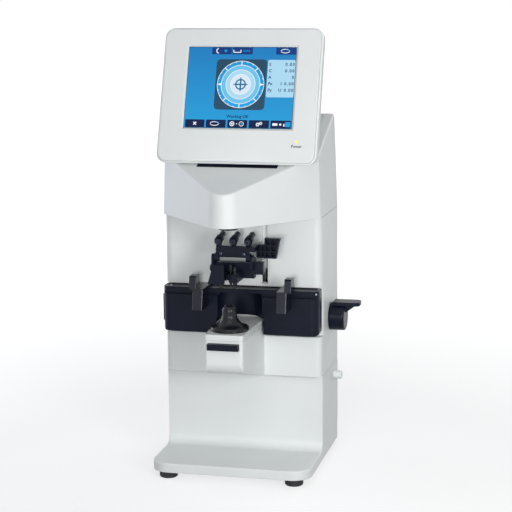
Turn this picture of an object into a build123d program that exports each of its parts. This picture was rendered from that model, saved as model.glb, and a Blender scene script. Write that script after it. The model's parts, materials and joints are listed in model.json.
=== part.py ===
from build123d import *
import os
from math import atan, cos, degrees, pi, radians, sin, sqrt, tan

# Auto lensmeter: a column stand with an overhanging optics head, a tilting screen, a lens rest
# on a nose, a lens table that slides to it, a lens holder and a lens marker.
# Millimetres, +Z up, front towards -Y. The optical axis is X = 0 while the pieces are made.
# Each finished piece is moved so that the middle of the whole object's footprint is the origin.

# Body sizes
half_width = 85.75          # from the middle to the side walls
rear_y = 97.6               # rear face of the column and head
base_front_y = -73.5        # front edge of the foot plate
foot_height = 7.7           # rubber feet under the base
base_thickness = 10.0       # height of the base plate's edge
split_z = 99.8              # joint between base stand and body cover
recess_bottom_z = 143.9     # table recess across the body cover
recess_top_z = 197.2
head_z = 272.3              # underside of the head
lower_front_y = 4.0         # front wall of the lower column
box_front_y = -2.0          # front wall of the box that carries the nose
recess_y = 7.0              # back of the table recess
wall = 3.0                  # housing walls
corner = 8.0                # upright corner radius of the body
front_corner = 20.0         # plan corner radius of the foot plate
base_blend = 10.0           # hollow blend from foot plate to column
gap = 0.3                   # clearance round fitted panels and between moving pieces
seam = 0.6                  # groove along the joints between covers

# Head sizes
facet_angle = 48.0          # front facets of the head, from the X axis
apex_y = -98.6              # where the facets would meet
nose_radius = 20.0          # rounded front of the head
head_draft = 2.0            # moulding draft of the head's walls
slope_y = -10.6             # a point on the sloped top
slope_z = 335.2
slope_angle = degrees(atan(0.37))
well_half = 41.4            # pocket under the screen
well_front_y = -25.8
well_rear_y = 24.0
well_depth = 26.0
cover_half = 71.0           # service cover on the sloped top
cover_front_y = 30.0
cover_rear_y = 88.7

# Screen sizes, in the plane of the screen, heights from the middle of the picture
screen_y = -4.6
screen_z = 408.1
screen_tilt = 19.3          # leaning back
picture_half = 57.6
picture_high = 43.3
bezel_half = 83.5
bezel_top = 63.0
bezel_bottom = 79.5
bezel_corner = 9.0
shell_lip = 1.8             # the rear shell stands out round the bezel
hinge_y = -2.0              # tilt hinge
hinge_z = 331.0
hinge_pin_r = 2.5

# Optics
axis_y = -59.0              # optical axis
rest_z = 188.3              # top of the lens rest
ring_z = 267.3              # underside of the objective ring
nose_top_z = 162.0
nose_plate_z = 155.5        # seam under the nose's top plate
nose_front_y = -85.4
nose_front_half = 20.3
nose_rear_half = 24.0
read_bar_reach = 5.6        # read bar stands out from the nose
read_bar_half = 16.4
read_bar_high = 6.5
read_bar_z = 149.6

# Lens table and its drive
table_front_y = -15.0
table_rear_y = 5.0
table_bottom_z = 147.7
table_top_z = 195.9
table_half = 85.0
table_cut_half = 25.5
table_travel = 33.0
shaft_y = 48.5
shaft_z = 156.8
shaft_r = 4.0
module = 1.5                # rack and sector teeth
gear_teeth = 34             # in a full turn
backlash = 0.25
rack_half = 44.0            # middle of each rack from the optical axis
rack_width = 8.0
guide_half = 58.0           # middle of each guide rod from the optical axis
guide_r = 4.0
guide_z = 182.0
running_fit = 0.05          # radial clearance of shafts and rods

# Lens holder and marker
slot_x = 24.4               # upright slot in the column's front wall
slot_width = 6.0
slot_bottom_z = 199.5
slot_top_z = 264.0
pivot_y = -42.07            # marker pivot
pivot_z = 234.0
pen_pitch = 15.9
pen_r = 3.3
pen_slope = 11.5
pen_tip_y = -43.5
pen_tip_z = 251.0
pen_length = 26.0

gear_r = module * gear_teeth / 2
lever_x = half_width + 17.15
tab_x = half_width + 33.25
strip_reach = 2.25          # edge strip on the table's left end
object_frame = Location((
    -(tab_x - half_width - strip_reach) / 2,
    -(rear_y + nose_front_y - read_bar_reach) / 2,
    0.0,
))
base_top_z = foot_height + base_thickness

os.makedirs("parts", exist_ok=True)


def save(piece, label):
    """Label a finished piece and write it in the object's frame."""
    piece.label = label
    placed = piece.moved(object_frame)
    placed.label = label
    export_step(placed, f"parts/{label}.step")


def block(x0, x1, y0, y1, z0, z1, mode=Mode.ADD):
    """Add or cut a box between two corners."""
    middle = ((x0 + x1) / 2, (y0 + y1) / 2, (z0 + z1) / 2)
    with Locations(middle):
        Box(abs(x1 - x0), abs(y1 - y0), abs(z1 - z0), mode=mode)


def rod_x(x0, x1, y, z, radius, mode=Mode.ADD):
    """Add or cut a round bar along X."""
    with Locations(Location(((x0 + x1) / 2, y, z), (0, 90, 0))):
        Cylinder(radius, abs(x1 - x0), mode=mode)


def rod_y(x, y0, y1, z, radius, mode=Mode.ADD):
    """Add or cut a round bar along Y."""
    with Locations(Location((x, (y0 + y1) / 2, z), (90, 0, 0))):
        Cylinder(radius, abs(y1 - y0), mode=mode)


def rod_z(x, y, z0, z1, radius, mode=Mode.ADD):
    """Add or cut an upright round bar."""
    with Locations((x, y, (z0 + z1) / 2)):
        Cylinder(radius, abs(z1 - z0), mode=mode)


# Feet, base plate and their screws
foot_r = 9.7
foot_x = 68.0
foot_ys = (-60.5, 85.0)
foot_places = [(side * foot_x, y) for side in (-1, 1) for y in foot_ys]
plate_thickness = 1.5
base_plate_z = foot_height + plate_thickness

with BuildPart() as feet:
    with BuildSketch(Plane.XY):
        with Locations(*foot_places):
            Circle(foot_r - 1)
    extrude(amount=1)
    with BuildSketch(Plane.XY.offset(1)):
        with Locations(*foot_places):
            Circle(foot_r)
    extrude(amount=foot_height - 1)
    for x, y in foot_places:
        rod_z(x, y, 0, 3, 4.2, Mode.SUBTRACT)
        rod_z(x, y, 3, foot_height, 1.7, Mode.SUBTRACT)
save(feet.part, "rubber_feet")

with BuildPart() as foot_screws:
    for x, y in foot_places:
        rod_z(x, y, 1.0, 3, 3.4)
        rod_z(x, y, 3, base_top_z - 2.5, 1.5)
save(foot_screws.part, "foot_screws")


def foot_plate_outline(inset):
    """Plan of the foot plate, drawn in by an inset."""
    y0 = base_front_y + inset
    y1 = rear_y - inset
    with Locations((0, (y0 + y1) / 2)):
        Rectangle(2 * (half_width - inset), y1 - y0)
    fillet(vertices().group_by(Axis.Y)[0], front_corner - inset)
    fillet(vertices().group_by(Axis.Y)[-1], corner - inset)


def column_outline(front_y, inset, radius):
    """Plan of the column above the foot plate, drawn in by an inset."""
    y0 = front_y + inset
    y1 = rear_y - inset
    with Locations((0, (y0 + y1) / 2)):
        Rectangle(2 * (half_width - inset), y1 - y0)
    fillet(vertices().group_by(Axis.Y)[-1], corner - inset)
    if radius > inset:
        fillet(vertices().group_by(Axis.Y)[0], radius - inset)


with BuildPart() as base_plate:
    with BuildSketch(Plane.XY.offset(foot_height)):
        foot_plate_outline(wall + gap)
    extrude(amount=plate_thickness)
    for x, y in foot_places:
        rod_z(x, y, foot_height, base_plate_z, 1.7, Mode.SUBTRACT)
    with BuildSketch(Plane.XY.offset(foot_height)):
        with Locations((0, 40)):
            with GridLocations(14, 9, 6, 4):
                SlotOverall(10, 3)
    extrude(amount=plate_thickness, mode=Mode.SUBTRACT)
save(base_plate.part, "base_plate")

# Base stand: foot plate and lower column moulded in one, open below, behind and on top
panel_y = (23.0, 92.0)
panel_z = (29.2, 97.2)
panel_thickness = 1.6
rear_panel_half = 70.0
rear_panel_z = (26.0, 262.0)
rear_panel_thickness = 1.6
rear_lip = 6.0
button_y = 69.0             # power button on the right side panel
button_z = 86.0
button_r = 4.6
screw_places = [
    (side * (rear_panel_half - rear_lip / 2), z)
    for side in (-1, 1)
    for z in (rear_panel_z[0] + 8, 92.0, 108.0, rear_panel_z[1] - 8)
]


def rear_opening():
    """Cut the rear panel's seat and the opening behind it."""
    z0, z1 = rear_panel_z
    seat = rear_y - rear_panel_thickness
    block(-rear_panel_half, rear_panel_half, seat, rear_y + 1, z0, z1, Mode.SUBTRACT)
    reach = rear_panel_half - rear_lip
    block(-reach, reach, rear_y - wall - 1, rear_y, z0 + rear_lip, z1 - rear_lip, Mode.SUBTRACT)
    for x, z in screw_places:
        rod_y(x, rear_y - wall - 1, rear_y, z, 1.5, Mode.SUBTRACT)


with BuildPart() as base_stand:
    with BuildSketch(Plane.XY.offset(foot_height)):
        foot_plate_outline(0)
    extrude(amount=base_thickness)
    top_rim = edges().group_by(Axis.Z)[-1]
    fillet(top_rim, 1.5)
    with BuildSketch(Plane.XY.offset(foot_height)):
        column_outline(lower_front_y, 0, 0)
    extrude(amount=split_z - foot_height)
    foot_of_wall = (
        edges()
        .filter_by(Axis.X)
        .filter_by_position(Axis.Y, lower_front_y - 0.1, lower_front_y + 0.1)
        .filter_by_position(Axis.Z, base_top_z - 0.1, base_top_z + 0.1)
    )
    fillet(foot_of_wall, base_blend)
    # hollow under the foot plate, with bosses over the feet
    with BuildSketch(Plane.XY.offset(foot_height)):
        foot_plate_outline(wall)
    extrude(amount=base_thickness - wall, mode=Mode.SUBTRACT)
    for x, y in foot_places:
        rod_z(x, y, base_plate_z, base_top_z - 1, 5)
        rod_z(x, y, base_plate_z, base_top_z - 2.5, 1.55, Mode.SUBTRACT)
    # hollow of the column
    with BuildSketch(Plane.XY.offset(base_top_z - wall)):
        column_outline(lower_front_y, wall, 0)
    extrude(amount=split_z, mode=Mode.SUBTRACT)
    for x, y in foot_places[1::2]:
        rod_z(x, y, base_plate_z, base_top_z, 5)
        rod_z(x, y, base_plate_z, base_top_z - 2.5, 1.55, Mode.SUBTRACT)
        block(x - 1.5, x + 1.5, y + 4, rear_y - wall + 0.5, base_plate_z, base_top_z)
    # seats of the side panels and the rear panel
    for side in (-1, 1):
        outer = side * (half_width + 1)
        seat = side * (half_width - panel_thickness)
        block(seat, outer, panel_y[0], panel_y[1], panel_z[0], panel_z[1], Mode.SUBTRACT)
    rod_x(half_width - 5, half_width, button_y, button_z, button_r + gap, Mode.SUBTRACT)
    rear_opening()
save(base_stand.part, "base_stand")

for side, name in ((-1, "side_panel_left"), (1, "side_panel_right")):
    with BuildPart() as side_panel:
        inner = side * (half_width - panel_thickness)
        outer = side * half_width
        block(
            inner, outer, panel_y[0] + gap, panel_y[1] - gap,
            panel_z[0] + gap, panel_z[1] - gap,
        )
        fillet(side_panel.edges().filter_by(Axis.X), 2)
        if side > 0:
            rod_x(inner - 1, outer + 1, button_y, button_z, button_r + gap, Mode.SUBTRACT)
    save(side_panel.part, name)

# Body cover: box that carries the nose, table recess, and upper column with the holder's slot
arm_z = (shaft_z + gear_r + 1.25 * module, 191.0)   # rear arms of the table, above their teeth
arm_slot = 0.8              # clearance of the arms in the recess wall
body_steps = (
    (split_z, split_z + seam, box_front_y, seam, 6.5),
    (split_z + seam, recess_bottom_z, box_front_y, 0.0, 6.5),
    (recess_bottom_z, recess_top_z, recess_y, 0.0, 5.0),
    (recess_top_z, head_z - seam, 0.0, 0.0, corner),
    (head_z - seam, head_z, 0.0, seam, corner),
)

with BuildPart() as body_cover:
    for z0, z1, front, inset, radius in body_steps:
        with BuildSketch(Plane.XY.offset(z0)):
            column_outline(front, inset, radius)
        extrude(amount=z1 - z0)
    with BuildSketch(Plane.XY.offset(split_z)):
        column_outline(recess_y, wall, 5.0)
    extrude(amount=head_z - split_z, mode=Mode.SUBTRACT)
    with BuildSketch(Plane.XY.offset(split_z)):
        column_outline(box_front_y, wall, 6.5)
    extrude(amount=recess_bottom_z - wall - split_z, mode=Mode.SUBTRACT)
    with BuildSketch(Plane.XY.offset(recess_top_z + wall)):
        column_outline(0, wall, corner)
    extrude(amount=head_z - recess_top_z, mode=Mode.SUBTRACT)
    # slots for the table's arms, their teeth and the holder's stem
    for side in (-1, 1):
        x0 = side * rack_half - rack_width / 2 - arm_slot
        x1 = side * rack_half + rack_width / 2 + arm_slot
        z0 = shaft_z + gear_r - module - arm_slot
        block(x0, x1, recess_y - 1, recess_y + wall + 1, z0, arm_z[1] + arm_slot, Mode.SUBTRACT)
    block(
        slot_x - slot_width / 2, slot_x + slot_width / 2, -1, wall + 1,
        slot_bottom_z, slot_top_z, Mode.SUBTRACT,
    )
    rod_x(half_width - 5, half_width + 1, shaft_y, shaft_z, shaft_r + 0.6, Mode.SUBTRACT)
    rear_opening()
save(body_cover.part, "body_cover")

# Rear panel with vents, and its screws
inlet_x = -44.0
inlet_z = 52.0
inlet_size = (27.0, 20.0)
port_x = 38.0
port_z = 52.0
port_size = (16.0, 10.0)

with BuildPart() as rear_panel:
    block(
        -rear_panel_half + gap, rear_panel_half - gap,
        rear_y - rear_panel_thickness, rear_y, rear_panel_z[0] + gap, rear_panel_z[1] - gap,
    )
    fillet(rear_panel.edges().filter_by(Axis.Y), 2)
    with BuildSketch(Plane.XZ.offset(-rear_y - 1)):
        with Locations((0, 215)):
            with GridLocations(26, 7, 4, 9):
                SlotOverall(20, 3)
        with Locations((inlet_x, inlet_z)):
            Rectangle(inlet_size[0] + gap, inlet_size[1] + gap)
        with Locations((port_x, port_z)):
            with GridLocations(0, 16, 1, 2):
                Rectangle(port_size[0] + gap, port_size[1] + gap)
        with Locations(*screw_places):
            Circle(1.7)
    extrude(amount=4, mode=Mode.SUBTRACT)
save(rear_panel.part, "rear_panel")

with BuildPart() as panel_screws:
    for x, z in screw_places:
        rod_y(x, rear_y - rear_panel_thickness - 1.2, rear_y - 0.6, z, 1.5)
        rod_y(x, rear_y - 0.6, rear_y, z, 1.65)
save(panel_screws.part, "rear_panel_screws")

# Head housing: faceted nose in plan, drafted walls, sloped top with a pocket for the screen's neck
slope_plane = Plane(
    origin=(0, slope_y, slope_z),
    x_dir=(1, 0, 0),
    z_dir=(0, -sin(radians(slope_angle)), cos(radians(slope_angle))),
)
well_floor_z = slope_z + (well_front_y - slope_y) * tan(radians(slope_angle)) - well_depth + 6


def along_slope(y):
    """Distance up the sloped top for a place given by its Y."""
    return (y - slope_y) / cos(radians(slope_angle))


def head_form(inset, drop):
    """Solid head drawn in by an inset, its top lowered by a drop."""
    with BuildPart() as form:
        with BuildSketch(Plane.XY.offset(head_z + drop)):
            reach = inset / sin(radians(90 - facet_angle))
            side_x = half_width - inset
            front = apex_y + reach
            shoulder = front + side_x * tan(radians(facet_angle))
            rear = rear_y - inset
            Polygon(
                (side_x, shoulder), (side_x, rear), (-side_x, rear), (-side_x, shoulder),
                (0, front), align=None,
            )
            fillet(vertices().group_by(Axis.Y)[0], nose_radius - inset)
            fillet(vertices().group_by(Axis.Y)[-1], corner - inset)
            fillet(vertices().group_by(Axis.X)[0].group_by(Axis.Y)[0], 5)
            fillet(vertices().group_by(Axis.X)[-1].group_by(Axis.Y)[0], 5)
        extrude(amount=115, taper=head_draft)
        with BuildSketch(slope_plane.offset(-drop)):
            Rectangle(400, 400)
        extrude(amount=200, mode=Mode.SUBTRACT)
    return form.part


head_outer = head_form(0, 0)
head_inner = head_form(wall, wall)
cover_s = (along_slope(cover_front_y), along_slope(cover_rear_y))
cover_thickness = 1.6

with BuildPart() as head_housing:
    add(head_outer)
    fillet(head_housing.faces().sort_by(Axis.Z)[-1].edges(), 2.5)
    add(head_inner, mode=Mode.SUBTRACT)
    block(
        -well_half - 2, well_half + 2, well_front_y - 2, well_rear_y + 2,
        well_floor_z - 2, 380,
    )
    with BuildSketch(slope_plane):
        with Locations((0, 40)):
            Rectangle(160, 300)
    extrude(amount=100, mode=Mode.SUBTRACT)
    block(-well_half, well_half, well_front_y, well_rear_y, well_floor_z, 380, Mode.SUBTRACT)
    # seat and opening of the service cover
    with BuildSketch(slope_plane.offset(-cover_thickness)):
        with Locations((0, sum(cover_s) / 2)):
            RectangleRounded(2 * cover_half, cover_s[1] - cover_s[0], 4)
    extrude(amount=10, mode=Mode.SUBTRACT)
    with BuildSketch(slope_plane.offset(-wall - 1)):
        with Locations((0, sum(cover_s) / 2)):
            RectangleRounded(2 * cover_half - 10, cover_s[1] - cover_s[0] - 10, 4)
    extrude(amount=10, mode=Mode.SUBTRACT)
    # floor openings over the column and for the objective ring
    block(-72, 72, 12, 88, head_z - 1, head_z + wall + 1, Mode.SUBTRACT)
    rod_z(0, axis_y, head_z - 1, head_z + wall + 1, 8.8, Mode.SUBTRACT)
save(head_housing.part, "head_housing")

with BuildPart() as service_cover:
    with BuildSketch(slope_plane.offset(-cover_thickness)):
        with Locations((0, sum(cover_s) / 2)):
            RectangleRounded(2 * cover_half - 1.2, cover_s[1] - cover_s[0] - 1.2, 3.4)
    extrude(amount=cover_thickness - 0.2)
save(service_cover.part, "service_cover")

# Nose: a hollow arm that carries the lens rest
nose_wall = 2.5
nose_corner_z = 122.0       # where front and underside would meet
nose_blend = 13.0


def nose_form(inset):
    """Solid nose drawn in by an inset."""
    with BuildPart() as form:
        with BuildSketch(Plane.YZ.offset(-40)):
            Polygon(
                (nose_front_y + inset, nose_plate_z - inset),
                (nose_front_y + inset, nose_corner_z + inset),
                (box_front_y - inset, split_z + inset),
                (box_front_y - inset, nose_plate_z - inset),
                align=None,
            )
            fillet(vertices().group_by(Axis.X)[0].sort_by(Axis.Y)[0], nose_blend - inset)
        extrude(amount=80)
        with BuildSketch(Plane.XY.offset(80)):
            front = nose_front_half - inset
            rear = nose_rear_half - inset
            Polygon(
                (-front, nose_front_y + inset), (front, nose_front_y + inset),
                (rear, recess_y), (-rear, recess_y), align=None,
            )
            fillet(vertices().group_by(Axis.Y)[0], 3.5 - inset / 2)
        extrude(amount=100, mode=Mode.INTERSECT)
    return form.part


nose_outer = nose_form(0)
nose_inner = nose_form(nose_wall)
bar_z = (read_bar_z - read_bar_high / 2, read_bar_z + read_bar_high / 2)
spigot_r = 10.6

with BuildPart() as nose_housing:
    add(nose_outer)
    # heel that reaches back over the lower box into the table recess
    with BuildSketch(Plane.XY.offset(recess_bottom_z)):
        Polygon(
            (-nose_rear_half + 0.1, box_front_y), (nose_rear_half - 0.1, box_front_y),
            (nose_rear_half, recess_y), (-nose_rear_half, recess_y), align=None,
        )
    extrude(amount=nose_plate_z - recess_bottom_z)
    add(nose_inner, mode=Mode.SUBTRACT)
    rod_z(0, axis_y, nose_plate_z - 5, nose_plate_z + 1, 7.2, Mode.SUBTRACT)
    block(
        -read_bar_half - gap, read_bar_half + gap, nose_front_y - 1, nose_front_y + nose_wall + 1,
        bar_z[0] - gap, bar_z[1] + gap, Mode.SUBTRACT,
    )
save(nose_housing.part, "nose_housing")

with BuildPart() as nose_top_plate:
    with BuildSketch(Plane.XY.offset(nose_plate_z)):
        Polygon(
            (-nose_front_half, nose_front_y), (nose_front_half, nose_front_y),
            (nose_rear_half, recess_y), (-nose_rear_half, recess_y), align=None,
        )
        fillet(vertices().group_by(Axis.Y)[0], 3.5)
        with Locations((0, axis_y)):
            Circle(spigot_r + 0.1, mode=Mode.SUBTRACT)
    extrude(amount=nose_top_z - nose_plate_z)
    for level in (0, -1):
        chamfer(nose_top_plate.edges().group_by(Axis.Z)[level].filter_by(GeomType.LINE), 0.6)
save(nose_top_plate.part, "nose_top_plate")

# Lens rest: black turned cap on the optical axis, with three notches round its tip
rest_flange_z = nose_top_z + 4
rest_r = 7.8                # straight part of the cap
with BuildPart() as lens_rest:
    with BuildSketch(Plane.XZ):
        with BuildLine():
            Polyline(
                (3.0, nose_plate_z + 0.2), (spigot_r, nose_plate_z + 0.2), (spigot_r, nose_top_z),
                (20.1, nose_top_z), (20.1, rest_flange_z - 1.2), (19.2, rest_flange_z),
            )
            ThreePointArc((19.2, rest_flange_z), (11.6, 170.0), (rest_r, 177.5))
            Line((rest_r, 177.5), (rest_r, 181.5))
            ThreePointArc((rest_r, 181.5), (6.6, 185.7), (3.0, rest_z))
            Line((3.0, rest_z), (3.0, nose_plate_z + 0.2))
        make_face()
    revolve(axis=Axis.Z)
    with PolarLocations(0, 3, start_angle=90):
        with Locations((4.2, 0, rest_z)):
            Box(5, 1.2, 1.6, mode=Mode.SUBTRACT)
    with Locations((0, 0, 171.5)):
        Cylinder(5.2, 1.6, mode=Mode.SUBTRACT)
lens_rest.part.position = (0, axis_y, 0)
save(lens_rest.part, "lens_rest")

with BuildPart() as rest_window:
    rod_z(0, axis_y, 170.8, 172.2, 5.1)
save(rest_window.part, "rest_window")

sensor_z = 128.0
roof_z = nose_plate_z - nose_wall
with BuildPart() as sensor_barrel:
    rod_z(0, axis_y, roof_z - 3, roof_z, 12)
    rod_z(0, axis_y, sensor_z, roof_z, 9)
    rod_z(0, axis_y, sensor_z - 1, roof_z + 1, 6.5, Mode.SUBTRACT)
save(sensor_barrel.part, "sensor_barrel")

with BuildPart() as sensor_board:
    block(-13, 13, axis_y - 13, axis_y + 13, sensor_z - 1.6, sensor_z)
    block(-4, 4, axis_y - 4, axis_y + 4, sensor_z, sensor_z + 1)
save(sensor_board.part, "sensor_board")

# Read bar on the front of the nose, and the switch behind it
bar_travel = 2.0
bar_flange_half = read_bar_half - 0.3
with BuildPart() as read_bar:
    y0 = nose_front_y - read_bar_reach
    y1 = nose_front_y + nose_wall + 2.0
    block(-read_bar_half, read_bar_half, y0, y1, bar_z[0], bar_z[1])
    fillet(read_bar.faces().sort_by(Axis.Y)[0].edges(), 1.2)
    flange_y = nose_front_y + nose_wall + 0.2
    block(-bar_flange_half, bar_flange_half, flange_y, y1, bar_z[0] - 0.8, bar_z[1] - 0.2)
save(read_bar.part, "read_bar")

with BuildPart() as read_switch:
    y0 = nose_front_y + nose_wall + 2.2 + bar_travel
    block(-8, 8, y0, y0 + 4, 146, roof_z)
save(read_switch.part, "read_switch")

# Screen: bezel, rear shell, glass, picture panel, board, light and the neck on its hinge
screen = Plane(
    origin=(0, screen_y, screen_z),
    x_dir=(1, 0, 0),
    z_dir=(0, -cos(radians(screen_tilt)), sin(radians(screen_tilt))),
)
bezel_front = 1.0
bezel_depth = 4.0
bezel_wall = 2.0
shell_straight = 8.0        # depth of the rear shell's straight side
shell_depth = 25.0          # depth of the whole rear shell
shell_wall = 2.2
shell_taper = 35.0
bezel_middle = (bezel_top - bezel_bottom) / 2
bezel_high = bezel_top + bezel_bottom
light_x = 64.4
light_u = -57.3


def screen_slab(half_x, low, high, back, front, radius=0.0, mode=Mode.ADD):
    """Flat slab in the screen's own plane."""
    with BuildSketch(screen.offset(back), mode=Mode.PRIVATE) as slab:
        with Locations((0, (low + high) / 2)):
            if radius:
                RectangleRounded(2 * half_x, high - low, radius)
            else:
                Rectangle(2 * half_x, high - low)
    extrude(slab.sketch, amount=front - back, mode=mode)


def shell_form(inset):
    """Solid rear shell of the screen, drawn in by an inset and cut clear of the sloped top."""
    rear = bezel_front - bezel_depth
    half_x = bezel_half + shell_lip - inset
    high = bezel_high + 2 * (shell_lip - inset)
    with BuildPart() as form:
        with BuildSketch(screen.offset(rear)):
            with Locations((0, bezel_middle)):
                RectangleRounded(2 * half_x, high, bezel_corner + shell_lip - inset)
        extrude(amount=-shell_straight)
        with BuildSketch(screen.offset(rear - shell_straight)):
            with Locations((0, bezel_middle)):
                RectangleRounded(2 * half_x, high, bezel_corner + shell_lip - inset)
        extrude(amount=-(shell_depth - shell_straight - inset), taper=shell_taper)
        with BuildSketch(slope_plane.offset(2 + inset)):
            Rectangle(400, 400)
        extrude(amount=-200, mode=Mode.SUBTRACT)
    return form.part


shell_outer = shell_form(0)
shell_inner = shell_form(shell_wall)
neck_half = 14.0
neck_y = (-17.0, -6.0)
knuckle_r = 6.5

with BuildPart() as monitor_bezel:
    back = bezel_front - bezel_depth
    screen_slab(bezel_half, -bezel_bottom, bezel_top, back, bezel_front, bezel_corner)
    front_face = monitor_bezel.faces().sort_by(Axis((0, 0, 0), screen.z_dir))[-1]
    fillet(front_face.edges(), 1.5)
    screen_slab(
        bezel_half - shell_wall, -bezel_bottom + shell_wall, bezel_top - shell_wall, back,
        bezel_front - bezel_wall, bezel_corner - shell_wall, Mode.SUBTRACT,
    )
    with BuildSketch(screen.offset(bezel_front)):
        Rectangle(2 * picture_half + 5, 2 * picture_high + 5)
    extrude(amount=-bezel_wall, taper=50, mode=Mode.SUBTRACT)
    screen_slab(
        picture_half + 0.4, -picture_high - 0.4, picture_high + 0.4, back, bezel_front, 0,
        Mode.SUBTRACT,
    )
    with BuildSketch(screen.offset(back)):
        with Locations((light_x, light_u)):
            Circle(1.2)
    extrude(amount=bezel_depth, mode=Mode.SUBTRACT)
save(monitor_bezel.part, "monitor_bezel")

with BuildPart() as power_light:
    with BuildSketch(screen.offset(bezel_front - 6)):
        with Locations((light_x, light_u)):
            Circle(1.15)
    extrude(amount=6.2)
    with BuildSketch(screen.offset(bezel_front - 6)):
        with Locations((light_x, light_u)):
            Rectangle(7, 7)
    extrude(amount=-1.6)
save(power_light.part, "power_light")

glass_back = bezel_front - bezel_wall - 1.2
panel_back = glass_back - 6.0
with BuildPart() as touch_glass:
    screen_slab(62, -47.5, 47.5, glass_back, bezel_front - bezel_wall)
save(touch_glass.part, "touch_glass")

with BuildPart() as display_panel:
    screen_slab(62, -47.5, 47.5, panel_back, glass_back)
save(display_panel.part, "display_panel")

with BuildPart() as display_board:
    screen_slab(50, -35, 35, panel_back - 6.6, panel_back - 5)
    with BuildSketch(screen.offset(panel_back - 5)):
        with GridLocations(90, 60, 2, 2):
            Circle(2.5)
    extrude(amount=5)
save(display_board.part, "display_board")

with BuildPart() as monitor_back:
    add(shell_outer)
    add(shell_inner, mode=Mode.SUBTRACT)
    block(
        -neck_half - gap, neck_half + gap, neck_y[0] - gap, neck_y[1] + 4, 330, 356,
        Mode.SUBTRACT,
    )
    with BuildSketch(screen.offset(bezel_front - bezel_depth - shell_depth)):
        with Locations((0, 30)):
            with GridLocations(30, 6, 3, 4):
                SlotOverall(24, 2.4)
    extrude(amount=shell_wall + 1, mode=Mode.SUBTRACT)
save(monitor_back.part, "monitor_back")

with BuildPart() as monitor_neck:
    rod_x(-neck_half, neck_half, hinge_y, hinge_z, knuckle_r)
    with BuildSketch(Plane.YZ.offset(-neck_half)):
        Polygon(
            (hinge_y - 6, hinge_z - 2.5), (hinge_y + 6, hinge_z + 2), (neck_y[1], hinge_z + 10),
            (neck_y[1], 349), (neck_y[0], 349), (neck_y[0], hinge_z + 8), align=None,
        )
    extrude(amount=2 * neck_half)
    with BuildSketch(slope_plane.offset(2 + shell_wall + 2.5)):
        Rectangle(400, 400)
    extrude(amount=60, mode=Mode.SUBTRACT)
    with BuildSketch(slope_plane.offset(2 + shell_wall)):
        with Locations((0, along_slope(sum(neck_y) / 2))):
            Rectangle(44, 14)
    extrude(amount=2.5)
    rod_x(-40, 40, hinge_y, hinge_z, hinge_pin_r + running_fit, Mode.SUBTRACT)
save(monitor_neck.part, "monitor_neck")

lug_inner = neck_half + gap
lug_outer = lug_inner + 5
with BuildPart() as hinge_bracket:
    block(-26, 26, hinge_y - 12, hinge_y + 12, well_floor_z, well_floor_z + 3)
    for side in (-1, 1):
        block(
            side * lug_inner, side * lug_outer, hinge_y - 6, hinge_y + 6,
            well_floor_z, hinge_z,
        )
        rod_x(side * lug_inner, side * lug_outer, hinge_y, hinge_z, 6)
    rod_x(-40, 40, hinge_y, hinge_z, hinge_pin_r, Mode.SUBTRACT)
save(hinge_bracket.part, "hinge_bracket")

with BuildPart() as hinge_pin:
    rod_x(-lug_outer, lug_outer, hinge_y, hinge_z, hinge_pin_r)
save(hinge_pin.part, "hinge_pin")

# Lens table: a tall black bar with a ledge, cut out round the nose and scooped round the lens rest
ledge_z = 191.4
groove_z = (188.0, 190.9)
groove_y = table_front_y + 3
scoop_r = 26.0
scoop_y = axis_y + 35.0     # 2 mm behind the optical axis at full travel
cut_top_z = 165.0
pocket_y = table_front_y + 6
pocket_x = (30.0, 82.0)     # rear pockets of the table, each with an upright rib
rib_x = (66.0, 68.0)
strip_z = (156.0, 185.0)    # edge strip on the table's left end
table_corner = 4.0          # lower corners seen from the front

with BuildPart() as lens_table:
    with BuildSketch(Plane.XY.offset(table_bottom_z)):
        with Locations((0, (table_front_y + table_rear_y) / 2)):
            Rectangle(2 * table_half, table_rear_y - table_front_y)
        fillet(vertices().group_by(Axis.Y)[0], 8)
        fillet(vertices().group_by(Axis.Y)[-1], 2)
    extrude(amount=table_top_z - table_bottom_z)
    fillet(lens_table.faces().sort_by(Axis.Z)[-1].edges(), 0.8)
    with BuildSketch(Plane.XZ.offset(-table_rear_y - 1)):
        with Locations((0, (table_bottom_z + table_top_z) / 2)):
            Rectangle(2 * table_half, table_top_z - table_bottom_z)
        fillet(vertices().group_by(Axis.Y)[0], table_corner)
    extrude(amount=table_rear_y - table_front_y + 2, mode=Mode.INTERSECT)
    block(
        -table_cut_half, table_cut_half, table_front_y - 1, table_rear_y + 1,
        table_bottom_z - 1, cut_top_z, Mode.SUBTRACT,
    )
    with BuildSketch(Plane.XY.offset(cut_top_z - 1)):
        with Locations((0, scoop_y)):
            Circle(scoop_r)
    extrude(amount=ledge_z - cut_top_z + 1, mode=Mode.SUBTRACT)
    block(
        -table_half - 1, table_half + 1, table_front_y - 1, groove_y,
        groove_z[0], groove_z[1], Mode.SUBTRACT,
    )
    for side in (-1, 1):
        block(
            side * pocket_x[0], side * pocket_x[1], pocket_y, table_rear_y + 1,
            table_bottom_z + wall, arm_z[1], Mode.SUBTRACT,
        )
        block(
            side * rib_x[0], side * rib_x[1], pocket_y, table_rear_y - 2,
            table_bottom_z + wall, arm_z[1],
        )
    block(-half_width - strip_reach, -table_half + 1, -2, 1.5, strip_z[0], strip_z[1])
save(lens_table.part, "lens_table")

# Racks: the table's rear arms, with teeth below and bearing blocks on the guide rods
pitch = pi * module
pressure = radians(20)
pitch_line_z = shaft_z + gear_r
rack_rear_y = shaft_y + table_travel + 4.5
rear_tooth = int((rack_rear_y - shaft_y) / pitch - 0.75)    # last whole tooth on the rack
bearing_y = (66.0, 86.0)


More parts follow.
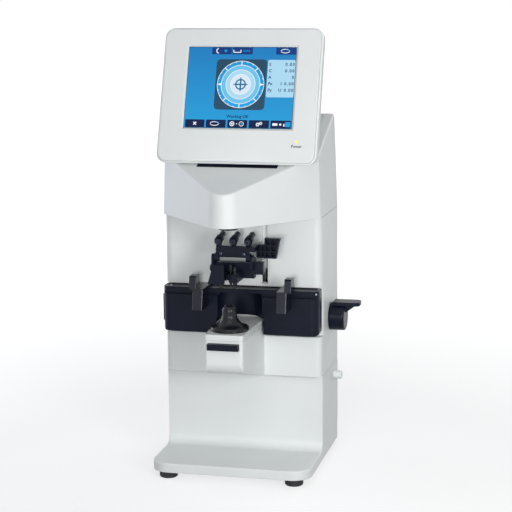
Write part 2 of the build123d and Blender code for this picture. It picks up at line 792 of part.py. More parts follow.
def rack_tooth(middle_y):
    """Side view of one rack tooth, pointing down."""
    root = arm_z[0] + 0.2
    tip = pitch_line_z - module
    half = pitch / 4 - backlash / 4
    root_half = half + (root - pitch_line_z) * tan(pressure)
    tip_half = half - module * tan(pressure)
    Polygon(
        (middle_y - root_half, root), (middle_y - tip_half, tip),
        (middle_y + tip_half, tip), (middle_y + root_half, root), align=None,
    )


with BuildPart() as table_racks:
    for side in (-1, 1):
        middle = side * rack_half
        x0 = middle - rack_width / 2
        x1 = middle + rack_width / 2
        block(x0, x1, pocket_y, rack_rear_y, arm_z[0], arm_z[1])
        block(middle - 10, middle + 10, pocket_y, pocket_y + 2.5, 170, arm_z[1])
        with BuildSketch(Plane.YZ.offset(x0)):
            for turn in range(-1, rear_tooth + 1):
                rack_tooth(shaft_y + (turn + 0.5) * pitch)
        extrude(amount=rack_width)
        inner = side * (rack_half + rack_width / 2)
        block(inner, side * 65, bearing_y[0], bearing_y[1], guide_z - 7, guide_z + 7)
        rod_y(
            side * guide_half, bearing_y[0] - 1, bearing_y[1] + 1, guide_z,
            guide_r + running_fit, Mode.SUBTRACT,
        )
save(table_racks.part, "table_racks")

# Sector gears on the lever's shaft
gear_width = 6.0
first_turn = -1
last_turn = 9


def involute(radius):
    """Angle of the tooth flank at a radius, from where it leaves the base circle."""
    reach = sqrt((radius / (gear_r * cos(pressure))) ** 2 - 1)
    return reach - atan(reach)


def gear_tooth(angle):
    """Side view of one involute tooth pointing at an angle from +Y."""
    base = gear_r * cos(pressure)
    tip = gear_r + module
    half_pitch = pitch / 4 / gear_r - backlash / 4 / gear_r
    radii = [base + (tip - base) * step / 4 for step in range(5)]
    flank = [(r, half_pitch + involute(gear_r) - involute(r)) for r in radii]
    flank = [(gear_r - 1.5 * module, flank[0][1])] + flank
    outline = [(r, angle - half) for r, half in flank]
    outline += [(r, angle + half) for r, half in reversed(flank)]
    Polygon(
        *[(shaft_y + r * cos(a), shaft_z + r * sin(a)) for r, a in outline], align=None
    )


step_angle = 2 * pi / gear_teeth
root_r = gear_r - 1.25 * module
sector_start = radians(90) - (last_turn + 0.7) * step_angle
sector_end = radians(90) - (first_turn - 0.7) * step_angle

with BuildPart() as sector_gears:
    for side in (-1, 1):
        x0 = side * rack_half - gear_width / 2
        with BuildSketch(Plane.YZ.offset(x0)):
            with Locations((shaft_y, shaft_z)):
                Circle(root_r)
            wedge = [(shaft_y, shaft_z)]
            for step in range(4):
                a = sector_start + (sector_end - sector_start) * step / 3
                wedge.append((shaft_y + 60 * cos(a), shaft_z + 60 * sin(a)))
            Polygon(*wedge, align=None, mode=Mode.INTERSECT)
            for turn in range(first_turn, last_turn + 1):
                gear_tooth(radians(90) - turn * step_angle)
            with Locations((shaft_y, shaft_z)):
                Circle(9)
                with PolarLocations(16, 3, start_angle=10, angular_range=90):
                    Circle(3, mode=Mode.SUBTRACT)
                Circle(shaft_r, mode=Mode.SUBTRACT)
        extrude(amount=gear_width)
save(sector_gears.part, "sector_gears")

chassis_half = 75.0
with BuildPart() as lever_shaft:
    rod_x(-chassis_half - 3, half_width + 13, shaft_y, shaft_z, shaft_r)
save(lever_shaft.part, "lever_shaft")

with BuildPart() as table_lever:
    rod_x(half_width + 0.4, lever_x, shaft_y, shaft_z, 15)
    fillet(table_lever.faces().sort_by(Axis.X)[-1].edges(), 2)
    block(half_width + 4, tab_x, shaft_y - 9, shaft_y + 9, shaft_z + 13.2, shaft_z + 17.2)
    fillet(
        table_lever.edges().filter_by(Axis.Z).filter_by_position(Axis.X, tab_x - 1, tab_x + 1), 5
    )
    with BuildSketch(Plane.XZ.offset(-shaft_y - 2.5)):
        Polygon(
            (lever_x - 6, shaft_z + 13.4), (tab_x - 4, shaft_z + 13.4),
            (lever_x - 1, shaft_z + 4), (lever_x - 6, shaft_z + 4), align=None,
        )
    extrude(amount=5)
    rod_x(half_width, half_width + 13, shaft_y, shaft_z, shaft_r, Mode.SUBTRACT)
save(table_lever.part, "table_lever")

# Clips that slide along the table's ledge
clip_z = (177.0, 199.0)
clip_front_y = -42.0
clip_lean = 4.0
hook_y = -0.6               # rear end of the hook over the ledge
finger_top_z = 212.0
finger_width = 7.4
finger_reach = 4.4          # how far the finger block overhangs the clip


def clip_form(x_near, x_far):
    """One clip, with its tall finger plate at x_far."""
    sign = 1 if x_far > x_near else -1
    back = table_front_y - gap
    top = table_top_z + gap
    with BuildPart() as clip:
        with BuildSketch(Plane.YZ.offset(x_near)):
            Polygon(
                (back, clip_z[0]), (clip_front_y, clip_z[0]),
                (clip_front_y + clip_lean, clip_z[1]), (hook_y, clip_z[1]), (hook_y, top), (back, top),
                align=None,
            )
        extrude(amount=(x_far - x_near))
        fillet(
            clip.edges().filter_by(Plane.YZ).filter_by_position(
                Axis.Y, clip_front_y - 1, clip_front_y + 3
            ),
            0.8,
        )
        # finger block that overhangs the far side
        with BuildSketch(Plane.YZ.offset(x_far + sign * finger_reach)):
            Polygon(
                (clip_front_y + 5, clip_z[1] - 1), (clip_front_y + 7, finger_top_z - 1.5),
                (clip_front_y + 9, finger_top_z), (clip_front_y + 20, finger_top_z),
                (clip_front_y + 24, clip_z[1] - 1), align=None,
            )
        extrude(amount=-sign * finger_width)
        x0 = min(x_near, x_far)
        x1 = max(x_near, x_far)
        block(x0, x1, back, groove_y - 0.4, groove_z[0] + gap, groove_z[1] - gap)
        block(x0 + 3, x1 - 3.5, clip_front_y + 6, back - 3, clip_z[0] - 1, 192, Mode.SUBTRACT)
    return clip.part


save(clip_form(-34.0, -45.0), "frame_clip_left")
save(clip_form(45.0, 56.0), "frame_clip_right")

# Chassis: folded steel frame in the column, with the guide rods, bushes and rail
chassis_y = (26.0, 88.0)
chassis_z = (18.0, head_z - 1.3)
sheet = 2.0
post_places = [(side * 56, y) for side in (-1, 1) for y in (chassis_y[0] + 6, chassis_y[1] - 8)]

with BuildPart() as chassis:
    y0, y1 = chassis_y
    z0, z1 = chassis_z
    block(-chassis_half, chassis_half, y0, y1, z0, z1)
    block(
        -chassis_half + sheet, chassis_half - sheet, y0 + sheet, y1 - sheet,
        z0 + sheet, z1 - sheet, Mode.SUBTRACT,
    )
    # windows: front for the arms and gears, rear for the sockets, top for the leads
    block(-51, 51, y0 - 1, y0 + sheet + 1, 124, 196, Mode.SUBTRACT)
    block(-64, 64, y0 - 1, y0 + sheet + 1, 32, 110, Mode.SUBTRACT)
    block(-66, 66, y1 - sheet - 1, y1 + 1, 34, 70, Mode.SUBTRACT)
    block(-50, 50, y1 - sheet - 1, y1 + 1, 135, 255, Mode.SUBTRACT)
    block(-66, 66, y0 + 12, y1 - 12, z1 - sheet - 1, z1 + 1, Mode.SUBTRACT)
    for low, high in ((34, 72), (100, 132), (182, 250)):
        block(-chassis_half - 1, chassis_half + 1, y0 + 10, y1 - 10, low, high, Mode.SUBTRACT)
    for x, y in post_places:
        rod_z(x, y, base_plate_z, z0 + 1, 4)
    rod_x(-chassis_half - 1, chassis_half + 1, shaft_y, shaft_z, 6, Mode.SUBTRACT)
    for side in (-1, 1):
        rod_y(side * guide_half, y0 - 1, y1 + 1, guide_z, guide_r, Mode.SUBTRACT)
save(chassis.part, "chassis")

with BuildPart() as guide_rods:
    for side in (-1, 1):
        rod_y(side * guide_half, chassis_y[0] - 1, chassis_y[1] + 1, guide_z, guide_r)
save(guide_rods.part, "guide_rods")

with BuildPart() as shaft_bushes:
    for side in (-1, 1):
        inner = side * (chassis_half - sheet)
        rod_x(inner, side * chassis_half, shaft_y, shaft_z, 6)
        rod_x(inner, inner - side * 2.5, shaft_y, shaft_z, 8)
    rod_x(-90, 90, shaft_y, shaft_z, shaft_r + running_fit, Mode.SUBTRACT)
save(shaft_bushes.part, "shaft_bushes")

# Optics arm: carries the light barrel over the optical axis from the chassis
arm_top_z = 284.0
with BuildPart() as optics_arm:
    block(-70, 70, chassis_y[0], chassis_y[0] + 11, chassis_z[1], chassis_z[1] + 3)
    block(-20, 20, chassis_y[0], chassis_y[0] + 11, chassis_z[1] + 3, arm_top_z)
    with BuildSketch(Plane.XY.offset(arm_top_z - 4)):
        Polygon(
            (-20, chassis_y[0] + 11), (20, chassis_y[0] + 11), (14, axis_y), (-14, axis_y),
            align=None,
        )
        with Locations((0, axis_y)):
            Circle(14)
            Circle(9, mode=Mode.SUBTRACT)
    extrude(amount=4)
save(optics_arm.part, "optics_arm")

with BuildPart() as light_barrel:
    rod_z(0, axis_y, 278, 304, 9)
    rod_z(0, axis_y, arm_top_z, arm_top_z + 3, 12)
    rod_z(0, axis_y, 277, 305, 6.5, Mode.SUBTRACT)
save(light_barrel.part, "light_barrel")

with BuildPart() as lamp_board:
    block(-11, 11, axis_y - 11, axis_y + 11, 304, 305.6)
    rod_z(0, axis_y, 301.5, 304, 2.5)
save(lamp_board.part, "lamp_board")

with BuildPart() as objective_ring:
    rod_z(0, axis_y, ring_z, head_z, spigot_r)
    rod_z(0, axis_y, head_z, 278, 8.7)
    chamfer(objective_ring.edges().group_by(Axis.Z)[0], 0.8)
    rod_z(0, axis_y, ring_z - 1, 279, 6, Mode.SUBTRACT)
    rod_z(0, axis_y, 273, 279, 7.5, Mode.SUBTRACT)
save(objective_ring.part, "objective_ring")

with BuildPart() as collimator_lens:
    rod_z(0, axis_y, 273, 276, 7.4)
    chamfer(collimator_lens.edges().group_by(Axis.Z)[-1], 0.8, 2.4)
save(collimator_lens.part, "collimator_lens")

# Electrics
board_y = chassis_y[1] - sheet - 5
with BuildPart() as main_board:
    block(-62, 62, board_y - 1.6, board_y, 76, 128)
    for x in (-56, 56):
        for z in (82, 122):
            rod_y(x, board_y, chassis_y[1] - sheet, z, 2.5)
    block(-20, 10, board_y - 4, board_y - 1.6, 88, 114)
    block(25, 50, board_y - 9, board_y - 1.6, 84, 92)
save(main_board.part, "main_board")

with BuildPart() as power_supply:
    block(-58, -4, 38, 70, chassis_z[0] + sheet, 58)
    with BuildSketch(Plane.XY.offset(56)):
        with Locations((-31, 54)):
            with GridLocations(8, 0, 6, 1):
                SlotOverall(22, 3, rotation=90)
    extrude(amount=4, mode=Mode.SUBTRACT)
save(power_supply.part, "power_supply")

with BuildPart() as power_inlet:
    x0 = inlet_x - inlet_size[0] / 2
    x1 = inlet_x + inlet_size[0] / 2
    z0 = inlet_z - inlet_size[1] / 2
    z1 = inlet_z + inlet_size[1] / 2
    block(x0, x1, 76, rear_y, z0, z1)
    block(x0 - 4, x1 + 4, 92, rear_y - rear_panel_thickness, z0 - 2, z1 + 2)
    block(x0 + 2, x1 - 2, 82, rear_y + 1, z0 + 2, z1 - 2, Mode.SUBTRACT)
    for x, z in ((-7, 0), (0, 3), (7, 0)):
        block(inlet_x + x - 1, inlet_x + x + 1, 82, 94, inlet_z + z - 2, inlet_z + z + 2)
save(power_inlet.part, "power_inlet")

with BuildPart() as data_ports:
    for z in (port_z - 8, port_z + 8):
        w, h = port_size
        block(port_x - w / 2, port_x + w / 2, 84, rear_y, z - h / 2, z + h / 2)
        block(
            port_x - w / 2 + 1, port_x + w / 2 - 1, 88, rear_y + 1, z - h / 2 + 1, z + h / 2 - 1,
            Mode.SUBTRACT,
        )
    block(port_x - 14, port_x + 14, 82.4, 84, port_z - 18, port_z + 18)
    block(port_x - 14, port_x + 14, 84, rear_y - rear_panel_thickness, port_z - 2, port_z + 2)
save(data_ports.part, "data_ports")

button_reach = 9.3
button_travel = 3.0
switch_x = half_width - wall - 2.4 - button_travel
with BuildPart() as power_button:
    rod_x(half_width - wall - 2, half_width + button_reach, button_y, button_z, button_r)
    fillet(power_button.faces().sort_by(Axis.X)[-1].edges(), 2)
    rod_x(half_width - wall - 2.2, half_width - wall - 0.2, button_y, button_z, button_r + 1)
save(power_button.part, "power_button")

with BuildPart() as power_switch:
    block(chassis_half, switch_x, button_y - 4, button_y + 4, button_z - 6, button_z + 6)
save(power_switch.part, "power_switch")

# Lens holder: yoke with three pins, stem through the wall slot, carriage on an upright rail
rail_y = 18.0
rail_r = 3.0
carriage_y = (12.0, 24.0)
carriage_z = (214.0, 234.0)
holder_travel = 15.0
rail_z = (carriage_z[0] - holder_travel - 2, slot_top_z - 2)
yoke_z = (213.0, 221.0)
yoke_rear_y = -30.0
cheek_x = (19.6, 22.0)
prong_x = (4.2, 11.0)
pin_places = ((-7.35, -62.7), (7.35, -62.7), (0.0, -50.8))
pin_r = 1.3
pin_shoulder = 3.5          # tapered shoulder under the yoke
pivot_r = 1.5
ear_x = (14.5, 19.2)

with BuildPart() as rail_bracket:
    for z in (rail_z[0] - 4, rail_z[1]):
        block(slot_x - 8, slot_x + 8, rail_y - 6, chassis_y[0], z, z + 4)
    block(
        slot_x - 8, slot_x + 8, chassis_y[0] - 1.5, chassis_y[0], rail_z[0] - 4, rail_z[1] + 4
    )
    rod_z(slot_x, rail_y, rail_z[0] - 5, rail_z[1] + 5, rail_r, Mode.SUBTRACT)
save(rail_bracket.part, "rail_bracket")

with BuildPart() as holder_rail:
    rod_z(slot_x, rail_y, rail_z[0] - 4, rail_z[1] + 4, rail_r)
save(holder_rail.part, "holder_rail")

with BuildPart() as holder_stem:
    block(slot_x - 2.5, slot_x + 2.5, yoke_rear_y - 2, carriage_y[0], 219, 229)
    block(slot_x - 2.5, slot_x + 7, yoke_rear_y - 2, yoke_rear_y + 1.5, 219, 229)
    block(slot_x - 7.4, slot_x + 7.6, carriage_y[0], carriage_y[1], *carriage_z)
    rod_z(slot_x, rail_y, carriage_z[0] - 1, carriage_z[1] + 1, rail_r + running_fit, Mode.SUBTRACT)
save(holder_stem.part, "holder_stem")

with BuildPart() as lens_holder:
    block(-cheek_x[1], cheek_x[1], -40, yoke_rear_y, yoke_z[0], 229)
    for side in (-1, 1):
        block(side * prong_x[0], side * prong_x[1], -66, -40, *yoke_z)
        block(side * cheek_x[0], side * cheek_x[1], pivot_y - 4.5, yoke_rear_y, 222, pivot_z)
        rod_x(side * cheek_x[0], side * cheek_x[1], pivot_y, pivot_z, 4.5)
    block(-prong_x[0], prong_x[0], -53.5, -40, yoke_z[0], yoke_z[1] - 2)
    # arm to the silver stem
    block(cheek_x[1], slot_x + 7, -39, yoke_rear_y - 2, 217, 230)
    with BuildSketch(Plane.XZ.offset(68)):
        Polygon((-20.5, 211), (-3, 211), (-3, 231), (-15, 231), align=None)
        fillet(vertices(), 1)
    extrude(amount=-2.6)
    for x, y in pin_places:
        rod_z(x, y, 200, 240, pin_r, Mode.SUBTRACT)
    # stub pivots of the marker
    for side in (-1, 1):
        rod_x(side * ear_x[0], side * cheek_x[1], pivot_y, pivot_z, pivot_r)
save(lens_holder.part, "lens_holder")

with BuildPart() as lens_pins:
    for x, y in pin_places:
        rod_z(x, y, 207, 228, pin_r)
        with Locations((x, y, yoke_z[0] - pin_shoulder / 2)):
            Cone(2.0, 2.8, pin_shoulder)
        rod_z(x, y, 206, 207, 0.9)
save(lens_pins.part, "lens_pins")

with BuildPart() as lift_knob:
    rod_x(-cheek_x[1], -cheek_x[1] - 4, -35, 222, 3.6)
    fillet(lift_knob.faces().sort_by(Axis.X)[0].edges(), 0.8)
save(lift_knob.part, "lift_knob")

# Marker: carrier bar on its pivot, three pens with tips, ribbed lever
carrier_half = 17.7
carrier_y = (-44.0, -40.0)
carrier_z = (235.2, 247.0)
screw_x = 12.5              # screws in the carrier's front
lever_front_y = -31.0
lever_thickness = 6.0
lever_pocket = 5.0          # depth of the pockets between the lever's ribs
pen_x = (-pen_pitch, 0.0, pen_pitch)
rise = radians(pen_slope)


def pen_plane(x, distance):
    """Plane square to a pen, at a distance from its tip end."""
    return Plane(
        origin=(x, pen_tip_y + distance * cos(rise), pen_tip_z + distance * sin(rise)),
        x_dir=(1, 0, 0),
        z_dir=(0, cos(rise), sin(rise)),
    )


with BuildPart() as marking_pens:
    for x in pen_x:
        with BuildSketch(pen_plane(x, 0)):
            Circle(pen_r)
        extrude(amount=pen_length - 2.2)
        with BuildSketch(pen_plane(x, pen_length - 2.2)):
            Circle(pen_r)
        extrude(amount=2.2, taper=35)
        with BuildSketch(pen_plane(x, 0)):
            Circle(2.2)
        extrude(amount=3, mode=Mode.SUBTRACT)
save(marking_pens.part, "marking_pens")

with BuildPart() as pen_tips:
    for x in pen_x:
        with BuildSketch(pen_plane(x, 3)):
            Circle(2.2)
        extrude(amount=-3.6)
        with BuildSketch(pen_plane(x, -0.6)):
            Circle(1.6)
        extrude(amount=-2.6, taper=20)
save(pen_tips.part, "pen_tips")

with BuildPart() as pen_carrier:
    with BuildSketch(Plane.XZ.offset(-carrier_y[0])):
        with Locations((0, sum(carrier_z) / 2)):
            RectangleRounded(2 * carrier_half, carrier_z[1] - carrier_z[0], 3.5)
    extrude(amount=-(carrier_y[1] - carrier_y[0]))
    for side in (-1, 1):
        block(side * ear_x[0], side * ear_x[1], -46, -38.2, pivot_z - 1, pivot_z + 5)
        rod_x(side * ear_x[0], side * ear_x[1], pivot_y, pivot_z, 3.4)
    for x in pen_x:
        with BuildSketch(Plane.YZ.offset(x - 1.8)):
            Polygon(
                (carrier_y[0], 242), (carrier_y[1], 240), (-27, 250.5), (-27, 253), (-41, 250),
                align=None,
            )
        extrude(amount=3.6)
        with BuildSketch(pen_plane(x, 4)):
            Circle(pen_r + 1)
        extrude(amount=7)
    for x in pen_x:
        with BuildSketch(pen_plane(x, 0)):
            Circle(pen_r)
        extrude(amount=pen_length, mode=Mode.SUBTRACT)
    rod_x(-30, 30, pivot_y, pivot_z, pivot_r + running_fit, Mode.SUBTRACT)
save(pen_carrier.part, "pen_carrier")

with BuildPart() as carrier_screws:
    for side in (-1, 1):
        rod_y(side * screw_x, carrier_y[0] - 0.8, carrier_y[0], carrier_z[0] + 3.6, 1.6)
save(carrier_screws.part, "carrier_screws")

with BuildPart() as marking_lever:
    with BuildSketch(Plane.XZ.offset(-lever_front_y)):
        with Locations((28, 240.4)):
            RectangleRounded(11, 14, 1.5)
        Polygon((31.2, 232.8), (43.5, 232.8), (46.6, 250), (48, 254.2), (31.2, 254.2), align=None)
        fillet(vertices().sort_by(Axis.X)[-1], 1)
    extrude(amount=-lever_thickness)
    with BuildSketch(Plane.XZ.offset(-lever_front_y)):
        with Locations((27.6, 240.4)):
            with GridLocations(4.6, 6, 2, 2):
                Rectangle(3.4, 4.8)
        with Locations((37.8, 243.6)):
            with GridLocations(6, 6.4, 2, 3):
                Rectangle(4.6, 5.0)
    extrude(amount=-lever_pocket, mode=Mode.SUBTRACT)
    # arm from the carrier's end to the lever
    block(carrier_half, 24, carrier_y[0], lever_front_y + lever_thickness, 241.5, 246.5)
save(marking_lever.part, "marking_lever")
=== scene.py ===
import json
import math

import bmesh
import bpy
from bpy.props import FloatProperty, FloatVectorProperty
from mathutils import Matrix, Vector


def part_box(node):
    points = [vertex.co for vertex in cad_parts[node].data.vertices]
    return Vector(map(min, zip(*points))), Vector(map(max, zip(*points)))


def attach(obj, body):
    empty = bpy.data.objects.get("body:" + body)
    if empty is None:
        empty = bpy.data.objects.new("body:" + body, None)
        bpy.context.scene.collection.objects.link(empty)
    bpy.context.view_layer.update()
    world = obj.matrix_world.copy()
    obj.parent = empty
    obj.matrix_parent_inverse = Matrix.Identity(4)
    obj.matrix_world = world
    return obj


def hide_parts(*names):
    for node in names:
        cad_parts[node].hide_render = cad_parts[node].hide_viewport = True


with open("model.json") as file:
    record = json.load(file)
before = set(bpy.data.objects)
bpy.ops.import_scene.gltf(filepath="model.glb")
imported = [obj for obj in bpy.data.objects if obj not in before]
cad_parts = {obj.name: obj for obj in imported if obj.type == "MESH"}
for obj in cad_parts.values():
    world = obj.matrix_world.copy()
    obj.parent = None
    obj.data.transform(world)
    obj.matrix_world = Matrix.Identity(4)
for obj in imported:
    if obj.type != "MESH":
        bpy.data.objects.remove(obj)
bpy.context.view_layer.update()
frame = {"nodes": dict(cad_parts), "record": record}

bl_info = {
    "name": "Auto lensmeter",
    "version": (1, 0, 0),
    "blender": (4, 5, 0),
    "location": "View3D > Sidebar > Lensmeter",
    "description": "Finishes, screen picture and small details of a column lensmeter",
    "category": "Object",
}

MM = 0.001


# Colours and settings

def linear(code):
    """An sRGB hex colour as linear red, green, blue and alpha."""
    channels = [int(code[i:i + 2], 16) / 255 for i in (1, 3, 5)]
    bent = [c / 12.92 if c <= 0.04045 else ((c + 0.055) / 1.055) ** 2.4 for c in channels]
    return (*bent, 1.0)


def colour(name, description, code):
    """A colour setting with an sRGB hex default."""
    return FloatVectorProperty(
        name=name, description=description, subtype="COLOR", size=4,
        min=0.0, max=1.0, default=linear(code),
    )


def length(name, description, millimetres):
    """A length setting, given in millimetres and kept in metres."""
    return FloatProperty(
        name=name, description=description, unit="LENGTH", min=0.0,
        precision=5, default=millimetres * MM,
    )


def power(name, place, watts):
    """Power of one of the stage's lamps."""
    return FloatProperty(name=name, description="Power of the lamp " + place, unit="POWER",
                         min=0.0, default=watts)


class LensmeterFinish(bpy.types.PropertyGroup):
    """Colours of the object's own materials."""
    cover: colour("Covers", "White ABS of the stand, head and screen", "#E6EAEA")
    plate: colour("Plates", "Pale grey ABS of the nose top and the rear panel", "#E4E8E8")
    table: colour("Table", "Blue-black polycarbonate of the table, clips and lever", "#0B1224")
    turned: colour("Turned parts", "Black acetal of the rest, rings and pens", "#12141B")
    rubber: colour("Feet", "Nitrile rubber of the feet", "#1C1C1E")
    zinc: colour("Zinc", "Zinc-plated sheet steel", "#B7BABC")
    steel: colour("Steel", "Ground stainless rod", "#C3C7CC")
    bronze: colour("Bronze", "Sintered bronze gears and bushes", "#AD8748")
    ferrule: colour("Ferrules", "Blued metal tips of the marking pens", "#4A5468")
    nickel: colour("Studs", "Nickel plate of the table's setting studs", "#AEB6C4")
    gold: colour("Contacts", "Gold plate of the socket contacts", "#DDB558")
    resist: colour("Boards", "Green resist of the circuit boards", "#12552D")
    ink: colour("Ink", "Printed word by the power lamp", "#3F4346")
    lamp: colour("Lamp", "Yellow-green power lamp", "#ECEB2E")


class LensmeterPicture(bpy.types.PropertyGroup):
    """Colours and sizes of the lit screen picture."""
    width: length("Width", "Width of the lit picture", 115.0)
    height: length("Height", "Height of the lit picture", 86.4)
    sky_high: colour("Ground, top", "Top of the picture's blue ground", "#1A7CC0")
    sky_low: colour("Ground, bottom", "Bottom of the picture's blue ground", "#24A2DE")
    navy_high: colour("Key, top", "Top of the touch keys", "#083A84")
    navy_low: colour("Key, bottom", "Bottom of the touch keys", "#051540")
    field: colour("Dial field", "Dark square behind the centring dial", "#22465F")
    rim: colour("Dial rim", "Outer ring of the centring dial", "#1598D6")
    middle: colour("Dial middle", "Second ring of the centring dial", "#70C4EC")
    pale: colour("Dial pale", "Third ring of the dial, and the readout", "#AEDCF4")
    heart: colour("Dial heart", "Middle of the centring dial", "#DCEBF8")
    ink: colour("Readout ink", "Letters and numbers of the readout", "#0F2F58")


class LensmeterDetail(bpy.types.PropertyGroup):
    """Sizes of small repeated details."""
    recess_width: length("Recess width", "Width of a cross recess's arm", 0.6)
    recess_depth: length("Recess depth", "Depth of a cross recess", 0.7)
    stud: length("Stud", "Diameter of the setting studs on the lens table", 2.2)
    contact: length("Contact", "Thickness of a socket contact", 0.5)


class LensmeterStage(bpy.types.PropertyGroup):
    """Light levels and lens of the stage."""
    key: power("Key", "at the front right", 4.9)
    fill: power("Fill", "beside the camera", 7.4)
    top: power("Top", "above the front", 2.9)
    strip: power("Strip", "at the rear left, which is tall", 4.9)
    back: power("Back", "behind", 10.0)
    ambient: FloatProperty(name="Surroundings", description="Strength of the white surroundings",
                           min=0.0, default=0.24)
    focal: FloatProperty(name="Focal length", description="Focal length of the camera in mm",
                         min=1.0, default=113.26)


def settings(group):
    """A settings group of the scene: finish, picture, detail or stage."""
    return getattr(bpy.context.scene, "lensmeter_" + group)


# Node helpers

NOISE_RANGE = {"From_Min": 0.3, "From_Max": 0.7}  # where nearly all of a noise lies


def add_node(tree, kind, links=None, **values):
    """Add a node, set its properties and inputs by name, and link inputs from other sockets."""
    node = tree.nodes.new(kind)
    for name, value in values.items():
        if hasattr(node, name):
            setattr(node, name, value)
        else:
            node.inputs[name.replace("_", " ")].default_value = value
    for name, socket in (links or {}).items():
        tree.links.new(socket, node.inputs[name])
    return node


def new_material(name, **values):
    """A new material, its node tree and its Principled shader with these constant values."""
    material = bpy.data.materials.new(name)
    material.use_nodes = True
    tree = material.node_tree
    tree.nodes.clear()
    shader = add_node(tree, "ShaderNodeBsdfPrincipled", **values)
    add_node(tree, "ShaderNodeOutputMaterial", {"Surface": shader.outputs[0]})
    return material, tree, shader


def grains(tree, size_mm, detail=2.0, roughness=0.5, stretch=(1, 1, 1)):
    """Noise whose grains are size_mm across, in the piece's own coordinates."""
    place = add_node(tree, "ShaderNodeTexCoord")
    mapping = add_node(tree, "ShaderNodeMapping", {"Vector": place.outputs["Object"]},
                       Scale=stretch)
    noise = add_node(tree, "ShaderNodeTexNoise", {"Vector": mapping.outputs[0]},
                     Scale=1 / (size_mm * MM), Detail=detail, Roughness=roughness)
    return noise.outputs[0]


def bump(tree, height, strength, depth_mm, edge_mm=0.0):
    """Bump from a height signal, over edges softened as a moulded or broken edge is."""
    links = {"Height": height}
    if edge_mm:
        edge = add_node(tree, "ShaderNodeBevel", samples=4, Radius=edge_mm * MM)
        links["Normal"] = edge.outputs[0]
    return add_node(tree, "ShaderNodeBump", links, Strength=strength,
                    Distance=depth_mm * MM).outputs[0]


def shade(value, factor):
    """A linear colour made darker or lighter."""
    return (*[min(1.0, c * factor) for c in value[:3]], 1.0)


def drift(tree, factor, one, other):
    """Colour that drifts between two near tones."""
    node = add_node(tree, "ShaderNodeMix", {"Factor": factor}, data_type="RGBA")
    colours = [socket for socket in node.inputs if socket.type == "RGBA"]
    colours[0].default_value = one
    colours[1].default_value = other
    return next(socket for socket in node.outputs if socket.type == "RGBA")


def vary_gloss(tree, shader, noise, smooth, rough):
    """Let the shader's roughness follow a noise between two values."""
    gloss = add_node(tree, "ShaderNodeMapRange", {"Value": noise}, To_Min=smooth,
                     To_Max=rough, **NOISE_RANGE)
    tree.links.new(gloss.outputs[0], shader.inputs["Roughness"])


def worked_surface(name, setting, dark, cloud, grain, rough, relief, **constants):
    """Material whose colour clouds towards dark, and whose grain moves roughness and normal.

    setting names its colour in the finish group; dark is the darker tone's share of it;
    cloud and grain are each a noise's grain in millimetres, and where it has them its
    detail, roughness and stretch; rough is the roughness range; relief is the bump's
    strength, depth and softened edge, the last two in millimetres.
    """
    material, tree, shader = new_material(name, **constants)
    tone = getattr(settings("finish"), setting)
    clouds = add_node(tree, "ShaderNodeMapRange", {"Value": grains(tree, *cloud)},
                      **NOISE_RANGE)
    texture = grains(tree, *grain)
    vary_gloss(tree, shader, texture, *rough)
    link = tree.links.new
    link(drift(tree, clouds.outputs[0], shade(tone, dark), tone[:]), shader.inputs["Base Color"])
    link(bump(tree, texture, *relief), shader.inputs["Normal"])
    return material


# Materials

PIXEL_STRIPE = 0.8  # millimetres between the drawn stripes of the screen's pixels


def white_abs():
    """Injection-moulded ABS covers: satin, with a spark-eroded grain drawn at 0.9 mm."""
    return worked_surface("white_abs", "cover", 0.95, (70, 3), (0.9, 2, 0.6), (0.38, 0.48),
                          (0.25, 0.02, 0.6), IOR=1.54)


def grey_abs():
    """Injection-moulded pale grey ABS, a little smoother than the covers."""
    return worked_surface("grey_abs", "plate", 0.95, (50, 3), (0.8, 2, 0.6), (0.18, 0.26),
                          (0.2, 0.02, 0.5), IOR=1.54)


def black_polycarbonate():
    """Moulded polycarbonate: blue-black with a leathery grain and rubbed lighter patches."""
    return worked_surface("black_polycarbonate", "table", 0.62, (24, 4), (0.8, 2, 0.6),
                          (0.26, 0.4), (0.35, 0.03, 0.5), IOR=1.58, Specular_IOR_Level=0.12)


def polished_polycarbonate():
    """Polycarbonate from a polished tool: a clean gloss, and edges that catch the light."""
    return worked_surface("polished_polycarbonate", "table", 0.7, (12, 3), (0.8, 2, 0.6),
                          (0.14, 0.22), (0.2, 0.02, 0.9), IOR=1.58, Specular_IOR_Level=0.3)


def turned_acetal():
    """Turned black acetal: fine tool rings round the axis under a polished skin."""
    return worked_surface("turned_acetal", "turned", 0.6, (12, 2), (0.7, 1, 0.5, (0.05, 0.05, 1)),
                          (0.2, 0.34), (0.22, 0.02, 0.4), IOR=1.48, Specular_IOR_Level=0.3)


def nitrile_rubber():
    """Moulded nitrile rubber: dull black with grey dust in its pores."""
    return worked_surface("nitrile_rubber", "rubber", 0.45, (5, 4), (1.0, 3), (0.6, 0.85),
                          (0.4, 0.05, 0.4), IOR=1.52)


def zinc_sheet():
    """Zinc-plated rolled sheet: soft grey shine with rolling lines up and down."""
    return worked_surface("zinc_sheet", "zinc", 0.85, (8, 3), (0.5, 2, 0.5, (1, 1, 0.04)),
                          (0.3, 0.45), (0.2, 0.01, 0.2), Metallic=1.0)


def ground_steel():
    """Centreless-ground stainless rod: bright, with fine lines round it."""
    return worked_surface("ground_steel", "steel", 0.9, (10, 2), (0.5, 2, 0.5, (1, 0.1, 0.1)),
                          (0.14, 0.26), (0.15, 0.01, 0.2), Metallic=1.0)


def sintered_bronze():
    """Sintered bronze: dull gold, with pores drawn at 0.4 mm."""
    return worked_surface("sintered_bronze", "bronze", 0.75, (6, 3), (0.4, 3), (0.35, 0.52),
                          (0.35, 0.02, 0.2), Metallic=1.0)


